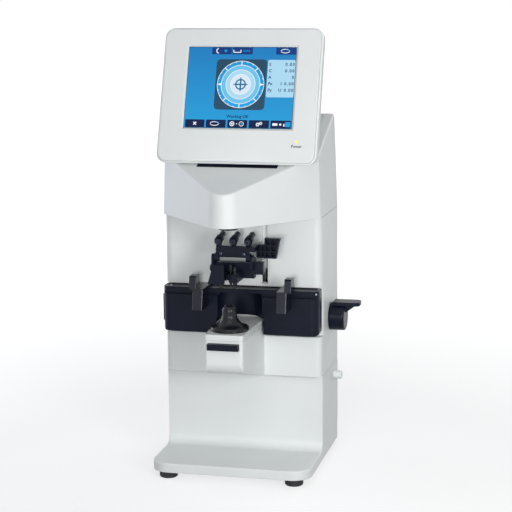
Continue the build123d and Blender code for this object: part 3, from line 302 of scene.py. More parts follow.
def blued_ferrule():
    """Drawn metal ferrule with a blue heat tint."""
    return worked_surface("blued_ferrule", "ferrule", 0.7, (2.5, 2), (0.4, 2, 0.5, (1, 0.1, 1)),
                          (0.18, 0.3), (0.15, 0.01, 0.2), Metallic=1.0)


def nickel_stud():
    """Nickel-plated stud: bright grey with a faint blue."""
    return worked_surface("nickel_stud", "nickel", 0.85, (2, 2), (0.7,), (0.25, 0.4), (0.1, 0.01),
                          Metallic=1.0)


def gold_contact():
    """Gold-plated stamped contact: warm and bright."""
    return worked_surface("gold_contact", "gold", 0.85, (2, 2), (0.4,), (0.2, 0.35),
                          (0.15, 0.01, 0.1), Metallic=1.0)


def crown_glass():
    """Polished crown glass with a faint blue coating."""
    material, tree, shader = new_material(
        "crown_glass", Base_Color=linear("#EAF2FA"), IOR=1.52, Transmission_Weight=0.9,
        Coat_Weight=0.4, Coat_Tint=linear("#B9C8F2"))
    vary_gloss(tree, shader, grains(tree, 9, 1), 0.01, 0.05)
    return material


def panel_glass():
    """Dark cover glass of the touch screen: black under a clean gloss with faint smears."""
    material, tree, shader = new_material("panel_glass", Base_Color=linear("#11161C"), IOR=1.52)
    vary_gloss(tree, shader, grains(tree, 14, 3), 0.05, 0.2)
    return material


def circuit_laminate():
    """Glass-epoxy board: green resist with paler copper tracks 3 mm apart under it."""
    tone = settings("finish").resist
    material, tree, shader = new_material("circuit_laminate", Roughness=0.35, IOR=1.55)
    place = add_node(tree, "ShaderNodeTexCoord")
    tracks = add_node(tree, "ShaderNodeTexBrick", {"Vector": place.outputs["Object"]},
                      Scale=170.0, Color1=shade(tone, 0.85), Color2=tone[:],
                      Mortar=shade(tone, 2.2), Mortar_Size=0.04)
    tree.links.new(tracks.outputs["Color"], shader.inputs["Base Color"])
    tree.links.new(bump(tree, tracks.outputs["Fac"], 0.3, 0.03), shader.inputs["Normal"])
    return material


def printed_ink():
    """Pad-printed ink on plastic: flat, with speckled gloss."""
    return worked_surface("printed_ink", "ink", 0.85, (3, 2), (0.7,), (0.5, 0.7), (0.1, 0.01),
                          IOR=1.5)


def lamp_lens():
    """Light guide of the power lamp: clear yellow-green plastic lit from behind."""
    material, tree, shader = new_material("lamp_lens", Roughness=0.3, Emission_Strength=0.5)
    tone = settings("finish").lamp
    glow = drift(tree, grains(tree, 1.5, 1.0), shade(tone, 0.85), tone[:])
    tree.links.new(glow, shader.inputs["Base Color"])
    tree.links.new(glow, shader.inputs["Emission Color"])
    return material


def lit_pixels(name, high, low, bottom, top):
    """Lit liquid crystal under glass: colour from low to high over a height range in metres.

    Stripes of the pixels, really 0.18 mm apart, are drawn wider apart so that they show.
    """
    material, tree, shader = new_material(name, Base_Color=linear("#05070A"), IOR=1.5,
                                          Specular_IOR_Level=0.15)
    place = add_node(tree, "ShaderNodeTexCoord")
    split = add_node(tree, "ShaderNodeSeparateXYZ", {"Vector": place.outputs["Object"]})
    share = add_node(tree, "ShaderNodeMapRange", {"Value": split.outputs["Z"]},
                     From_Min=bottom, From_Max=top)
    stripes = add_node(tree, "ShaderNodeTexWave", {"Vector": place.outputs["Object"]},
                       Scale=math.pi / (10 * PIXEL_STRIPE * MM))
    glow = add_node(tree, "ShaderNodeMapRange", {"Value": stripes.outputs[1]}, To_Min=0.94)
    vary_gloss(tree, shader, grains(tree, 14, 3), 0.12, 0.24)
    link = tree.links.new
    link(drift(tree, share.outputs[0], low[:], high[:]), shader.inputs["Emission Color"])
    link(glow.outputs[0], shader.inputs["Emission Strength"])
    return material


FINISH_OF_SLOT = {
    "warm_white_plastic": white_abs,
    "grey_plastic": grey_abs,
    "black_plastic": black_polycarbonate,
    "black_turned": turned_acetal,
    "steel_sheet": zinc_sheet,
    "ground_steel": ground_steel,
    "gear_brass": sintered_bronze,
    "rubber": nitrile_rubber,
    "optical_glass": crown_glass,
    "screen_glass": panel_glass,
    "circuit_board": circuit_laminate,
    "light_green": lamp_lens,
    "pen_metal": blued_ferrule,
}


def finish(maker):
    """The material that a maker function makes, made once."""
    return bpy.data.materials.get(maker.__name__) or maker()


# Mesh helpers

def polar(x, y, radius, angle):
    """Point at a radius and an angle in radians from x and y."""
    return x + radius * math.cos(angle), y + radius * math.sin(angle)


def circle(x, y, radius, count):
    """Points round a circle."""
    return [polar(x, y, radius, 2 * math.pi * i / count) for i in range(count)]


def rounded(x0, x1, y0, y1, radius, count=5):
    """Points round a rectangle with rounded corners."""
    left, right, foot, top = x0 + radius, x1 - radius, y0 + radius, y1 - radius
    middles = ((right, top), (left, top), (left, foot), (right, foot))
    return [polar(x, y, radius, (quarter + i / count) * math.pi / 2)
            for quarter, (x, y) in enumerate(middles) for i in range(count + 1)]


def stroke(near, far, width, end_width=None):
    """Corners of a straight stroke, which may taper."""
    near, far = Vector(near), Vector(far)
    side = (far - near).normalized().orthogonal() / 2
    start, end = side * width, side * (width if end_width is None else end_width)
    return [near - start, far - end, far + end, near + start]


def plate(bm, outline, place, low, high):
    """Closed plate over an outline, between two heights over the surface."""
    rows = [[bm.verts.new(place(x, y, h)) for x, y in outline] for h in (low, high)]
    bm.faces.new(rows[0][::-1])
    bm.faces.new(rows[1])
    for i in range(len(outline)):
        j = (i + 1) % len(outline)
        bm.faces.new((rows[0][i], rows[0][j], rows[1][j], rows[1][i]))


def ring(bm, x, y, outer, inner, place, low, high, start=0.0, sweep=360.0, count=48):
    """Closed ring, or part of one, as a band between two radii."""
    closed = sweep >= 360
    steps = round(count * sweep / 360)
    angles = [math.radians(start + sweep * i / steps) for i in range(steps + (not closed))]
    corners = [[bm.verts.new(place(*polar(x, y, radius, angle), height)) for angle in angles]
               for radius, height in ((outer, low), (outer, high), (inner, high), (inner, low))]
    for a in range(4):
        near, far = corners[a], corners[(a + 1) % 4]
        for i in range(steps):
            j = (i + 1) % len(near)
            bm.faces.new((near[i], near[j], far[j], far[i]))
    if not closed:
        bm.faces.new([row[0] for row in corners])
        bm.faces.new([row[-1] for row in reversed(corners)])


def new_object(name, data):
    """A new object in the scene for its data."""
    thing = bpy.data.objects.new(name, data)
    bpy.context.scene.collection.objects.link(thing)
    return thing


def finished_mesh(carrier):
    """The mesh that an object gives with its modifiers; the object is removed."""
    depsgraph = bpy.context.evaluated_depsgraph_get()
    mesh = bpy.data.meshes.new_from_object(carrier.evaluated_get(depsgraph))
    bpy.data.objects.remove(carrier)
    return mesh


LETTER_WEIGHT = 0.022  # how much the strokes are thickened, as a share of the size


def lettering(bm, text, size, x, y, place, low, high, align="LEFT", spacing=1.0):
    """Raised text set on a surface, as closed letters."""
    curve = bpy.data.curves.new("lettering", "FONT")
    curve.body = text
    curve.size = size
    curve.align_x = align
    curve.offset = size * LETTER_WEIGHT
    curve.space_character = spacing
    curve.resolution_u = 2
    curve.extrude = (high - low) / 2
    mesh = finished_mesh(new_object("lettering", curve))
    for vertex in mesh.vertices:
        vertex.co = place(x + vertex.co.x, y + vertex.co.y, (low + high) / 2 + vertex.co.z)
    bm.from_mesh(mesh)
    bpy.data.curves.remove(curve)
    bpy.data.meshes.remove(mesh)


SEAM = 0.0002 * MM  # corners of a drawing this near are one corner


def layered_piece(name, layers, body):
    """One piece from layers of (material, drawing function), riding on a body."""
    bm = bmesh.new()
    mesh = bpy.data.meshes.new(name)
    for index, (material, draw) in enumerate(layers):
        done = len(bm.faces)
        draw(bm)
        bm.faces.ensure_lookup_table()
        for face in bm.faces[done:]:
            face.material_index = index
        mesh.materials.append(material)
    bmesh.ops.remove_doubles(bm, verts=bm.verts, dist=SEAM)
    bmesh.ops.recalc_face_normals(bm, faces=bm.faces)
    bm.to_mesh(mesh)
    bm.free()
    return placed_piece(name, mesh, body)


def placed_piece(name, mesh, body):
    """An object for a finished mesh, riding on a body."""
    piece = new_object(name, mesh)
    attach(piece, body)
    return piece


# The screen's own plane, from the middle of its cover glass

SCREEN_LEAN = math.radians(19.3)
SCREEN_UP = Vector((0, math.sin(SCREEN_LEAN), math.cos(SCREEN_LEAN)))
SCREEN_OUT = Vector((0, -math.cos(SCREEN_LEAN), math.sin(SCREEN_LEAN)))
GLASS_FRONT = 0.6  # millimetres from the middle of the glass to its front
BEZEL_FRONT = 2.6  # and to the front of the bezel


def box_middle(node):
    """Middle of a CAD node's box."""
    low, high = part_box(node)
    return (Vector(low) + Vector(high)) / 2


def on_screen(x, up, out):
    """Point of the screen: millimetres right, up and out from the middle of the glass."""
    side = Vector((x, 0, 0))
    return box_middle("touch_glass") + (side + SCREEN_UP * up + SCREEN_OUT * out) * MM


# Screen picture, in millimetres right and up from the middle of the glass

KEY_ROW_LOW = ((-56.3, -35.4), (-33.8, -12.6), (-10.8, 10.4), (12.1, 33.6), (35.2, 56.8))
KEY_ROW_HIGH = ((-32.7, -11.6), (-10.8, 11.0), (36.1, 57.3))
KEY_EDGE = 0.2  # from the picture's edge to a key
KEY_REACH = (8.6, 7.6)  # from the lower and the upper edge to the far side of a key
KEY_CORNER = 0.8
SIGN_LEVEL = (4.4, 3.9)  # from the lower and the upper edge to the signs' middles
LENS_SIGNS = (-24.6, 45.8)  # one on a low key, one on a high key
DIAL = (0.4, 3.3)  # middle of the centring dial
DIAL_R = 25.4
DIAL_RINGS = (0.985, 0.815, 0.615, 0.42)  # shares of the dial's radius
DIAL_LINE = 0.28  # half the width of a white ring
DIAL_FIELD = (-26.8, 27.4, -23.8, 30.3, 4.3)  # left, right, foot, top and corner
READOUT = (28.3, -10.0, 29.9, 1.6)  # left, foot, top and corner
READOUT_EDGE = 0.1  # from the picture's right edge to the readout
ROWS = (("S", "0.00"), ("C", "0.00"), ("A", "0"), ("Px", "I 0.00"), ("Py", "U 0.00"))
ROW_SIZE, ROW_TOP, ROW_STEP = 4.6, 23.6, 6.9
ROW_SIGN, ROW_VALUE = 29.6, 56.8  # left of the letters and right of the numbers
VALUE_SPACING = 1.3
STATE_LINE = (-0.4, -32.4)
STATE_SIZE = 4.4
LAYER_STEP = 0.06  # from one layer of the picture to the next
LAYER_GAP, LAYER_LAP = 0.01, 0.04  # below a layer, and its reach into the next


class Layer:
    """One layer of the picture, and what is laid on it."""

    def __init__(self, bm, order):
        low = GLASS_FRONT + LAYER_STEP * order
        self.bm = bm
        self.heights = low + LAYER_GAP, low + LAYER_STEP + LAYER_LAP

    def lay(self, outline):
        plate(self.bm, outline, on_screen, *self.heights)

    def dot(self, x, y, radius, count=16):
        self.lay(circle(x, y, radius, count))

    def band(self, x, y, outer, inner, **arc):
        ring(self.bm, x, y, outer, inner, on_screen, *self.heights, **arc)

    def line(self, near, far, *widths):
        self.lay(stroke(near, far, *widths))

    def path(self, points, width):
        for near, far in zip(points, points[1:]):
            self.line(near, far, width)

    def spoke(self, x, y, degrees, start, end, *widths):
        angle = math.radians(degrees)
        self.line(polar(x, y, start, angle), polar(x, y, end, angle), *widths)

    def write(self, text, size, x, y, *style):
        lettering(self.bm, text, size, x, y, on_screen, *self.heights, *style)


def half_picture():
    """Half the picture's width and half its height, in millimetres."""
    tone = settings("picture")
    return tone.width / MM / 2, tone.height / MM / 2


def sign_rows():
    """Heights of the signs on the low and on the high keys."""
    edge = half_picture()[1]
    return SIGN_LEVEL[0] - edge, edge - SIGN_LEVEL[1]


def draw_ground(layer):
    """Blue ground over the whole picture."""
    half, edge = half_picture()
    layer.lay([(-half, -edge), (half, -edge), (half, edge), (-half, edge)])


def draw_keys(layer):
    """Touch keys along the bottom and the top of the picture."""
    edge = half_picture()[1]
    for x0, x1 in KEY_ROW_LOW:
        layer.lay(rounded(x0, x1, KEY_EDGE - edge, KEY_REACH[0] - edge, KEY_CORNER))
    for x0, x1 in KEY_ROW_HIGH:
        layer.lay(rounded(x0, x1, edge - KEY_REACH[1], edge - KEY_EDGE, KEY_CORNER))


def draw_field(layer):
    """Dark rounded square behind the dial."""
    layer.lay(rounded(*DIAL_FIELD))


def dial_disc(order):
    """Drawing of a disc of the dial, counted from the largest."""
    def draw(layer):
        layer.dot(*DIAL, DIAL_R * DIAL_RINGS[order], 64)
    return draw


def draw_white(layer):
    """White lines of the dial, its spokes and pointers, and the signs on the keys."""
    for share in DIAL_RINGS:
        layer.band(*DIAL, DIAL_R * share + DIAL_LINE, DIAL_R * share - DIAL_LINE)
    for degrees in (45, 90, 135, 225, 270, 315):
        layer.spoke(*DIAL, degrees, 20.8, 25, 0.9)
    for degrees in range(0, 360, 15):
        if degrees % 45:
            layer.spoke(*DIAL, degrees, 23.8, 25, 0.7)
    for degrees in (180, 0):
        layer.spoke(*DIAL, degrees, 24.8, 20.9, 0.3, 2.6)
    draw_key_signs(layer)


def draw_key_signs(layer):
    """Plain signs on the touch keys: cross, lens, discs, wheels, cell, crescent and tray."""
    foot, head = sign_rows()
    for slant in (-1.5, 1.5):
        layer.line((-47.3, foot - slant), (-44.3, foot + slant), 1.1)
    for middle, level in zip(LENS_SIGNS, (foot, head)):
        for start in (10, 190):
            turns = [math.radians(start + turn) for turn in range(0, 161, 20)]
            layer.path([(middle + 4.6 * math.cos(turn), level + 2.0 * math.sin(turn))
                        for turn in turns], 0.7)
    layer.band(-5.8, foot, 2.6, 1.7, count=24)
    layer.dot(-5.8, foot, 1.0)
    layer.band(4.2, foot, 2.6, 2.0, count=24)
    layer.dot(-0.8, foot, 0.6, 12)
    for middle, level, radius in ((21.6, foot - 0.4, 1.7), (24.8, foot + 0.8, 1.4)):
        layer.band(middle, level, radius, radius * 0.45, count=16)
        for degrees in range(0, 360, 60):
            layer.spoke(middle, level, degrees, radius * 0.9, radius * 1.3, 0.6)
    layer.lay(rounded(37.2, 42.6, foot - 1.4, foot + 1.2, 0.5))
    layer.dot(45.6, foot - 0.1, 1.2)
    layer.line((49.4, foot - 2.0), (49.4, foot + 0.8), 1.6, 0.8)
    layer.band(-25.4, head, 2.9, 1.9, start=100, sweep=170)
    layer.path([(-9.3, head + 1.2), (-9.3, head - 1.6), (-1.6, head - 1.6),
                (-1.6, head + 1.2)], 0.9)


def draw_sky_signs(layer):
    """Light blue plus sign, swooshes, small rings and square on the keys."""
    foot, head = sign_rows()
    layer.line((-19.6, head), (-16.2, head), 1.0)
    layer.line((-17.9, head - 1.7), (-17.9, head + 1.7), 1.0)
    for middle, level in zip(LENS_SIGNS, (foot, head)):
        points = [(middle + 0.6 + i * 1.1, level + 1.9 - 0.096 * i * i) for i in range(6)]
        for i, (near, far) in enumerate(zip(points, points[1:])):
            layer.line(near, far, 1.5 - 0.25 * i, 1.25 - 0.25 * i)
    layer.lay(rounded(50.6, 56.2, foot - 2.6, foot + 2.6, 0.6))
    layer.dot(4.2, foot, 1.0)
    for x in (2.0, 4.6, 7.2):
        layer.band(x, head, 1.0, 0.6, count=12)


def draw_sight(layer):
    """Cross-hair in the middle of the dial, a ring with four pointed arms."""
    layer.band(*DIAL, 5.8, 4.4)
    for degrees in (0, 180, 90, 270):
        layer.spoke(*DIAL, degrees, 0.0, 5.0, 1.6)
        layer.spoke(*DIAL, degrees, 5.0, 8.0, 1.9, 0.3)


def draw_readout(layer):
    """Pale panel of the readout at the right edge."""
    left, foot, top, corner = READOUT
    layer.lay(rounded(left, half_picture()[0] - READOUT_EDGE, foot, top, corner))


def draw_numbers(layer):
    """Letters and numbers of the readout, and the state line under the dial."""
    for row, (sign, value) in enumerate(ROWS):
        level = ROW_TOP - ROW_STEP * row
        layer.write(sign, ROW_SIZE, ROW_SIGN, level)
        layer.write(value, ROW_SIZE, ROW_VALUE, level, "RIGHT", VALUE_SPACING)
    layer.write("Working OK", STATE_SIZE, *STATE_LINE, "CENTER")


class LENSMETER_OT_picture(bpy.types.Operator):
    """Lit picture behind the touch screen's glass"""
    bl_idname = "lensmeter.picture"
    bl_label = "Screen picture"

    def execute(self, context):
        tone = settings("picture")
        low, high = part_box("touch_glass")
        reach = (low[2], high[2])

        def lit(name, order, draw, high, low=None):
            material = lit_pixels(name, high, high if low is None else low, *reach)
            return material, lambda bm: draw(Layer(bm, order))

        layered_piece("screen_picture", [
            lit("lit_ground", 0, draw_ground, tone.sky_high, tone.sky_low),
            lit("lit_keys", 1, draw_keys, tone.navy_high, tone.navy_low),
            lit("lit_field", 1, draw_field, tone.field, shade(tone.field, 1.35)),
            lit("lit_rim", 2, dial_disc(0), shade(tone.rim, 0.9),
                shade(tone.rim, 1.35)),
            lit("lit_middle", 3, dial_disc(1), tone.middle),
            lit("lit_pale", 4, dial_disc(2), tone.pale),
            lit("lit_heart", 5, dial_disc(3), tone.heart),
            lit("lit_white", 6, draw_white, linear("#F4FAFF")),
            lit("lit_sky", 6, draw_sky_signs, shade(tone.rim, 1.1)),
            lit("lit_sight", 7, draw_sight, shade(tone.rim, 0.5)),
            lit("lit_readout", 1, draw_readout, tone.pale),
            lit("lit_ink", 2, draw_numbers, tone.ink),
        ], "screen")
        return {"FINISHED"}


LAMP_WORD = (64.4, -63.4)  # middle of the word's foot, in millimetres on the screen
LAMP_WORD_SIZE = 4.2
INK_SINK, INK_RISE = 0.02, 0.05  # millimetres into the bezel and proud of it


class LENSMETER_OT_lamp_mark(bpy.types.Operator):
    """Printed word under the power lamp"""
    bl_idname = "lensmeter.lamp_mark"
    bl_label = "Power lamp mark"

    def execute(self, context):
        def draw(bm):
            lettering(bm, "Power", LAMP_WORD_SIZE, *LAMP_WORD, on_screen,
                      BEZEL_FRONT - INK_SINK, BEZEL_FRONT + INK_RISE, "CENTER")
        layered_piece("lamp_word", [(finish(printed_ink), draw)], "screen")
        return {"FINISHED"}


# Repeated small pieces, grown on points by geometry nodes

WELD = 0.001 * MM  # corners of loose triangles this near are one corner


def islands(node):
    """Boxes of a CAD node's separate solids, as (lowest corner, highest corner)."""
    mesh = frame["nodes"][node].data
    keys = [tuple(round(c / WELD) for c in v.co) for v in mesh.vertices]
    parent = {key: key for key in keys}

    def root(key):
        while parent[key] != key:
            parent[key] = parent[parent[key]]
            key = parent[key]
        return key

    for face in mesh.polygons:
        first = root(keys[face.vertices[0]])
        for index in face.vertices[1:]:
            parent[root(keys[index])] = first
    groups = {}
    for key, vertex in zip(keys, mesh.vertices):
        groups.setdefault(root(key), []).append(vertex.co.copy())
    return [(Vector(map(min, zip(*points))), Vector(map(max, zip(*points))))
            for points in groups.values()]


def point_tree(name, sizes, shape):
    """Node tree that sets one shape on every point, turned alike and spun at random.

    sizes names its float inputs; shape(tree, inputs) returns the shape's geometry socket,
    facing +Z.
    """
    tree = bpy.data.node_groups.get(name)
    if tree:
        return tree
    tree = bpy.data.node_groups.new(name, "GeometryNodeTree")
    kinds = {"Points": "Geometry", **dict.fromkeys(sizes, "Float"), "Turn": "Vector",
             "Spin": "Vector", "Seed": "Int", "Finish": "Material"}
    for title, kind in kinds.items():
        tree.interface.new_socket(title, in_out="INPUT", socket_type="NodeSocket" + kind)
    tree.interface.new_socket("Geometry", in_out="OUTPUT", socket_type="NodeSocketGeometry")
    inputs = add_node(tree, "NodeGroupInput").outputs
    spin = add_node(tree, "FunctionNodeRandomValue",
                    {"Max": inputs["Spin"], "Seed": inputs["Seed"]}, data_type="FLOAT_VECTOR")
    placed = add_node(tree, "GeometryNodeInstanceOnPoints", {
        "Points": inputs["Points"], "Instance": shape(tree, inputs),
        "Rotation": inputs["Turn"]})
    spun = add_node(tree, "GeometryNodeRotateInstances",
                    {"Instances": placed.outputs[0], "Rotation": spin.outputs[0]})
    real = add_node(tree, "GeometryNodeRealizeInstances", {"Geometry": spun.outputs[0]})
    done = add_node(tree, "GeometryNodeSetMaterial",
                    {"Geometry": real.outputs[0], "Material": inputs["Finish"]})
    add_node(tree, "NodeGroupOutput", {"Geometry": done.outputs[0]})
    return tree


SHARP_ANGLE = math.radians(32)  # edges bent more than this stay sharp


def grown_piece(name, tree, points, outward, body, slot, maker, **inputs):
    """A piece made by a point tree on points in metres, facing outward, riding on a body."""
    inputs |= {"turn": outward.to_track_quat("Z", "Y").to_euler(), "finish": finish(maker)}
    seeds = bpy.data.meshes.new(name)
    seeds.from_pydata([tuple(p) for p in points], [], [])
    carrier = new_object(name + "_points", seeds)
    modifier = carrier.modifiers.new("grow", "NODES")
    modifier.node_group = tree
    for item in tree.interface.items_tree:
        key = item.name.replace(" ", "_").lower()
        if item.in_out == "INPUT" and key in inputs:
            modifier[item.identifier] = inputs[key]
    mesh = finished_mesh(carrier)
    if not mesh.polygons:
        raise RuntimeError(name + " came out empty")
    mesh.name = name
    mesh.shade_smooth()
    mesh.set_sharp_from_angle(angle=SHARP_ANGLE)
    return placed_piece(name, mesh, body)


def moved(tree, geometry, height, factor):
    """Geometry lowered along Z by a height socket times a factor."""
    drop = add_node(tree, "ShaderNodeMath", {0: height}, operation="MULTIPLY")
    drop.inputs[1].default_value = factor
    vector = add_node(tree, "ShaderNodeCombineXYZ", {"Z": drop.outputs[0]})
    return add_node(tree, "GeometryNodeTransform",
                    {"Geometry": geometry, "Translation": vector.outputs[0]}).outputs[0]


DOME_SHARE = 3.2  # radius of a screw head's dome over the head's own
RECESS_SHARE = 0.4  # most that a recess's arm takes of the head's radius
SHANK_START = 0.96  # share of the head's height at which its shank starts
SHANK_MIN = 0.2  # shortest shank, in millimetres


def screw_shape(tree, inputs):
    """Domed screw head with a cross recess, on its shank, its outer face at z = 0."""
    head = add_node(tree, "GeometryNodeMeshCylinder", {"Radius": inputs["Head Radius"],
                    "Depth": inputs["Head Height"]}, Vertices=32).outputs[0]
    head = moved(tree, head, inputs["Head Height"], -0.5)
    dome = add_node(tree, "GeometryNodeMeshUVSphere", {"Radius": inputs["Dome Radius"]},
                    Segments=48, Rings=48).outputs[0]
    dome = moved(tree, dome, inputs["Dome Radius"], -1.0)
    domed = add_node(tree, "GeometryNodeMeshBoolean", operation="INTERSECT")
    for part in (head, dome):
        tree.links.new(part, domed.inputs["Mesh 2"])
    cut = add_node(tree, "GeometryNodeMeshBoolean", {"Mesh 1": domed.outputs[0]},
                   operation="DIFFERENCE")
    for x, y in (("Head Radius", "Recess Width"), ("Recess Width", "Head Radius")):
        size = add_node(tree, "ShaderNodeCombineXYZ",
                        {"X": inputs[x], "Y": inputs[y], "Z": inputs["Recess Depth"]})
        arm = add_node(tree, "GeometryNodeMeshCube", {"Size": size.outputs[0]})
        tree.links.new(arm.outputs[0], cut.inputs["Mesh 2"])
    shank = add_node(tree, "GeometryNodeMeshCylinder", {"Radius": inputs["Shank Radius"],
                     "Depth": inputs["Shank Length"]}, Vertices=24).outputs[0]
    shank = moved(tree, shank, inputs["Shank Length"], -0.5)
    shank = moved(tree, shank, inputs["Head Height"], -SHANK_START)
    joined = add_node(tree, "GeometryNodeJoinGeometry")
    for part in (cut.outputs[0], shank):
        tree.links.new(part, joined.inputs[0])
    return joined.outputs[0]


SCREW_SIZES = ("Head Radius", "Head Height", "Dome Radius", "Shank Radius", "Shank Length",
               "Recess Width", "Recess Depth")
# CAD node: (body, outward axis, head height and shank radius in mm, slot, finish)
SCREWS = {
    "rear_panel_screws": ("stand", Vector((0, 1, 0)), 1.2, 0.9, "steel_sheet", zinc_sheet),
    "foot_screws": ("stand", Vector((0, 0, -1)), 2.0, 1.5, "steel_sheet", zinc_sheet),
    "carrier_screws": ("marker", Vector((0, -1, 0)), 0.6, 0.8, "black_turned", blued_ferrule),
}


class LENSMETER_OT_screws(bpy.types.Operator):
    """Screws with domed heads and cross recesses, each driven to its own angle"""
    bl_idname = "lensmeter.screws"
    bl_label = "Screws"

    def execute(self, context):
        detail = settings("detail")
        tree = point_tree("cross_recess_screw", SCREW_SIZES, screw_shape)
        for seed, (node, (body, outward, head, shank, slot, maker)) in enumerate(SCREWS.items()):
            boxes = islands(node)
            half = (boxes[0][1] - boxes[0][0]) / 2
            across = max(map(abs, half - outward * half.dot(outward)))
            long = 2 * abs(half.dot(outward))
            points = [(low + high) / 2 + outward * long / 2 for low, high in boxes]
            piece = grown_piece(
                node + "_recessed", tree, points, outward, body, slot, maker,
                head_radius=across, head_height=head * MM, dome_radius=across * DOME_SHARE,
                shank_radius=shank * MM, shank_length=max(SHANK_MIN * MM, long - head * MM),
                recess_width=min(detail.recess_width, across * RECESS_SHARE),
                recess_depth=min(2 * detail.recess_depth, head * MM),
                spin=(0.0, 0.0, math.pi), seed=seed,
            )
            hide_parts(node)
        return {"FINISHED"}


STUD_FLATNESS = 0.6  # height of a stud's dome over its radius


def stud_shape(tree, inputs):
    """Domed head of a small stud, its middle at z = 0."""
    ball = add_node(tree, "GeometryNodeMeshUVSphere", {"Radius": inputs["Radius"]},
                    Segments=20, Rings=10)
    return add_node(tree, "GeometryNodeTransform", {"Geometry": ball.outputs[0]},
                    Scale=(1, 1, STUD_FLATNESS)).outputs[0]


# Middles of the setting studs, in millimetres from the lens table's corners
LEFT_STUD = (11.5, 6.6)  # from its left end and its front, on the top
RIGHT_STUD = (2.2, 12.3)  # from its right end and its front, on the top
FRONT_STUD = (2.4, 2.6)  # from its right end and its top, on the front


class LENSMETER_OT_table_studs(bpy.types.Operator):
    """Nickel setting studs on the lens table, clear of the clips' travel"""
    bl_idname = "lensmeter.table_studs"
    bl_label = "Setting studs"

    def execute(self, context):
        radius = settings("detail").stud / 2
        tree = point_tree("setting_stud", ("Radius",), stud_shape)
        low, high = (Vector(corner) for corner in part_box("lens_table"))
        top = [(low.x + LEFT_STUD[0] * MM, low.y + LEFT_STUD[1] * MM, high.z),
               (high.x - RIGHT_STUD[0] * MM, low.y + RIGHT_STUD[1] * MM, high.z)]
        front = [(high.x - FRONT_STUD[0] * MM, low.y, high.z - FRONT_STUD[1] * MM)]
        for name, points, outward in (("studs_top", top, Vector((0, 0, 1))),
                                      ("studs_front", front, Vector((0, -1, 0)))):
            grown_piece(name, tree, points, outward, "table", "pen_metal", nickel_stud,
                        radius=radius)
        return {"FINISHED"}


def contact_shape(tree, inputs):
    """Flat stamped contact, its front end at z = 0."""
    size = add_node(tree, "ShaderNodeCombineXYZ", {
        "X": inputs["Width"], "Y": inputs["Thickness"], "Z": inputs["Length"]})
    bar = add_node(tree, "GeometryNodeMeshCube", {"Size": size.outputs[0]}).outputs[0]
    return moved(tree, bar, inputs["Length"], -0.5)


# Contacts of the data sockets, in millimetres
CONTACT_COUNT = 4  # in each socket
CONTACT_PITCH = 2.6
CONTACT_WIDTH = 1.2
CONTACT_LENGTH = 6.0
CONTACT_DEPTH = 3.4  # from the sockets' front to the contacts' ends
SOCKET_RISE = 8.0  # from the middle of both sockets to each one's own


class LENSMETER_OT_contacts(bpy.types.Operator):
    """Gold contacts in each of the two data sockets"""
    bl_idname = "lensmeter.contacts"
    bl_label = "Socket contacts"

    def execute(self, context):
        tree = point_tree("socket_contact", ("Width", "Thickness", "Length"), contact_shape)
        middle = box_middle("data_ports")
        high = Vector(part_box("data_ports")[1])
        points = [
            (middle.x + (i - (CONTACT_COUNT - 1) / 2) * CONTACT_PITCH * MM,
             high.y - CONTACT_DEPTH * MM, middle.z + side * SOCKET_RISE * MM)
            for side in (-1, 1) for i in range(CONTACT_COUNT)
        ]
        grown_piece("port_contacts", tree, points, Vector((0, 1, 0)), "stand", "pen_metal",
                    gold_contact, width=CONTACT_WIDTH * MM, length=CONTACT_LENGTH * MM,
                    thickness=settings("detail").contact)
        return {"FINISHED"}


# Print-out slot on the sloped top, in millimetres
PAPER_SLOT = Vector((-13.3, -31.3, 328.75))  # its middle
PAPER_SLOT_SIZE = (86.0, 7.6)  # across, and along the slope
PAPER_GAP = 0.5  # from the slot's middle line to each lip
PAPER_SHADE_BED = (-0.4, 0.06)  # low and high face of the black bed, which paints the shade inside the slot, from the slope
PAPER_LIP = (-0.3, 0.2)  # and of the lips
SLOPE_UP = Vector((0, 0.938, 0.347))
SLOPE_OUT = Vector((0, -0.347, 0.938))


class LENSMETER_OT_paper_slot(bpy.types.Operator):
    """Black lips of the print-out's slot on the sloped top, under the screen's lower edge, over a
    shallow black bed that paints the shade inside the slot
    """
    bl_idname = "lensmeter.paper_slot"
    bl_label = "Paper slot"

    def execute(self, context):
        wide, deep = (size / 2 for size in PAPER_SLOT_SIZE)

        def on_slope(x, up, out):
            return (PAPER_SLOT + Vector((x, 0, 0)) + SLOPE_UP * up + SLOPE_OUT * out) * MM

        def draw(bm):
            # the bed is a black sheet 0.4 mm deep that paints the shade inside the slot, and the
            # lips lie over it
            plate(bm, rounded(-wide, wide, -deep, deep, 1.2), on_slope, *PAPER_SHADE_BED)
            for low, high in ((-deep, -PAPER_GAP), (PAPER_GAP, deep)):
                plate(bm, rounded(-wide, wide, low, high, 1.0), on_slope, *PAPER_LIP)

        layered_piece("paper_slot", [(finish(black_polycarbonate), draw)], "stand")
        return {"FINISHED"}


# Strip behind the wall that closes the holder's slot, in millimetres
SHUTTER_WIDTH = 9.0
SHUTTER_THICKNESS = 0.8
SHUTTER_CORNER = 1.5
SHUTTER_GAP = 0.3  # from the wall's back to the strip
SHUTTER_FOOT = 5.0  # from the stem's highest point down to the strip's foot
WALL_BACK = 5.0  # from the body cover's front to the back of its recess wall


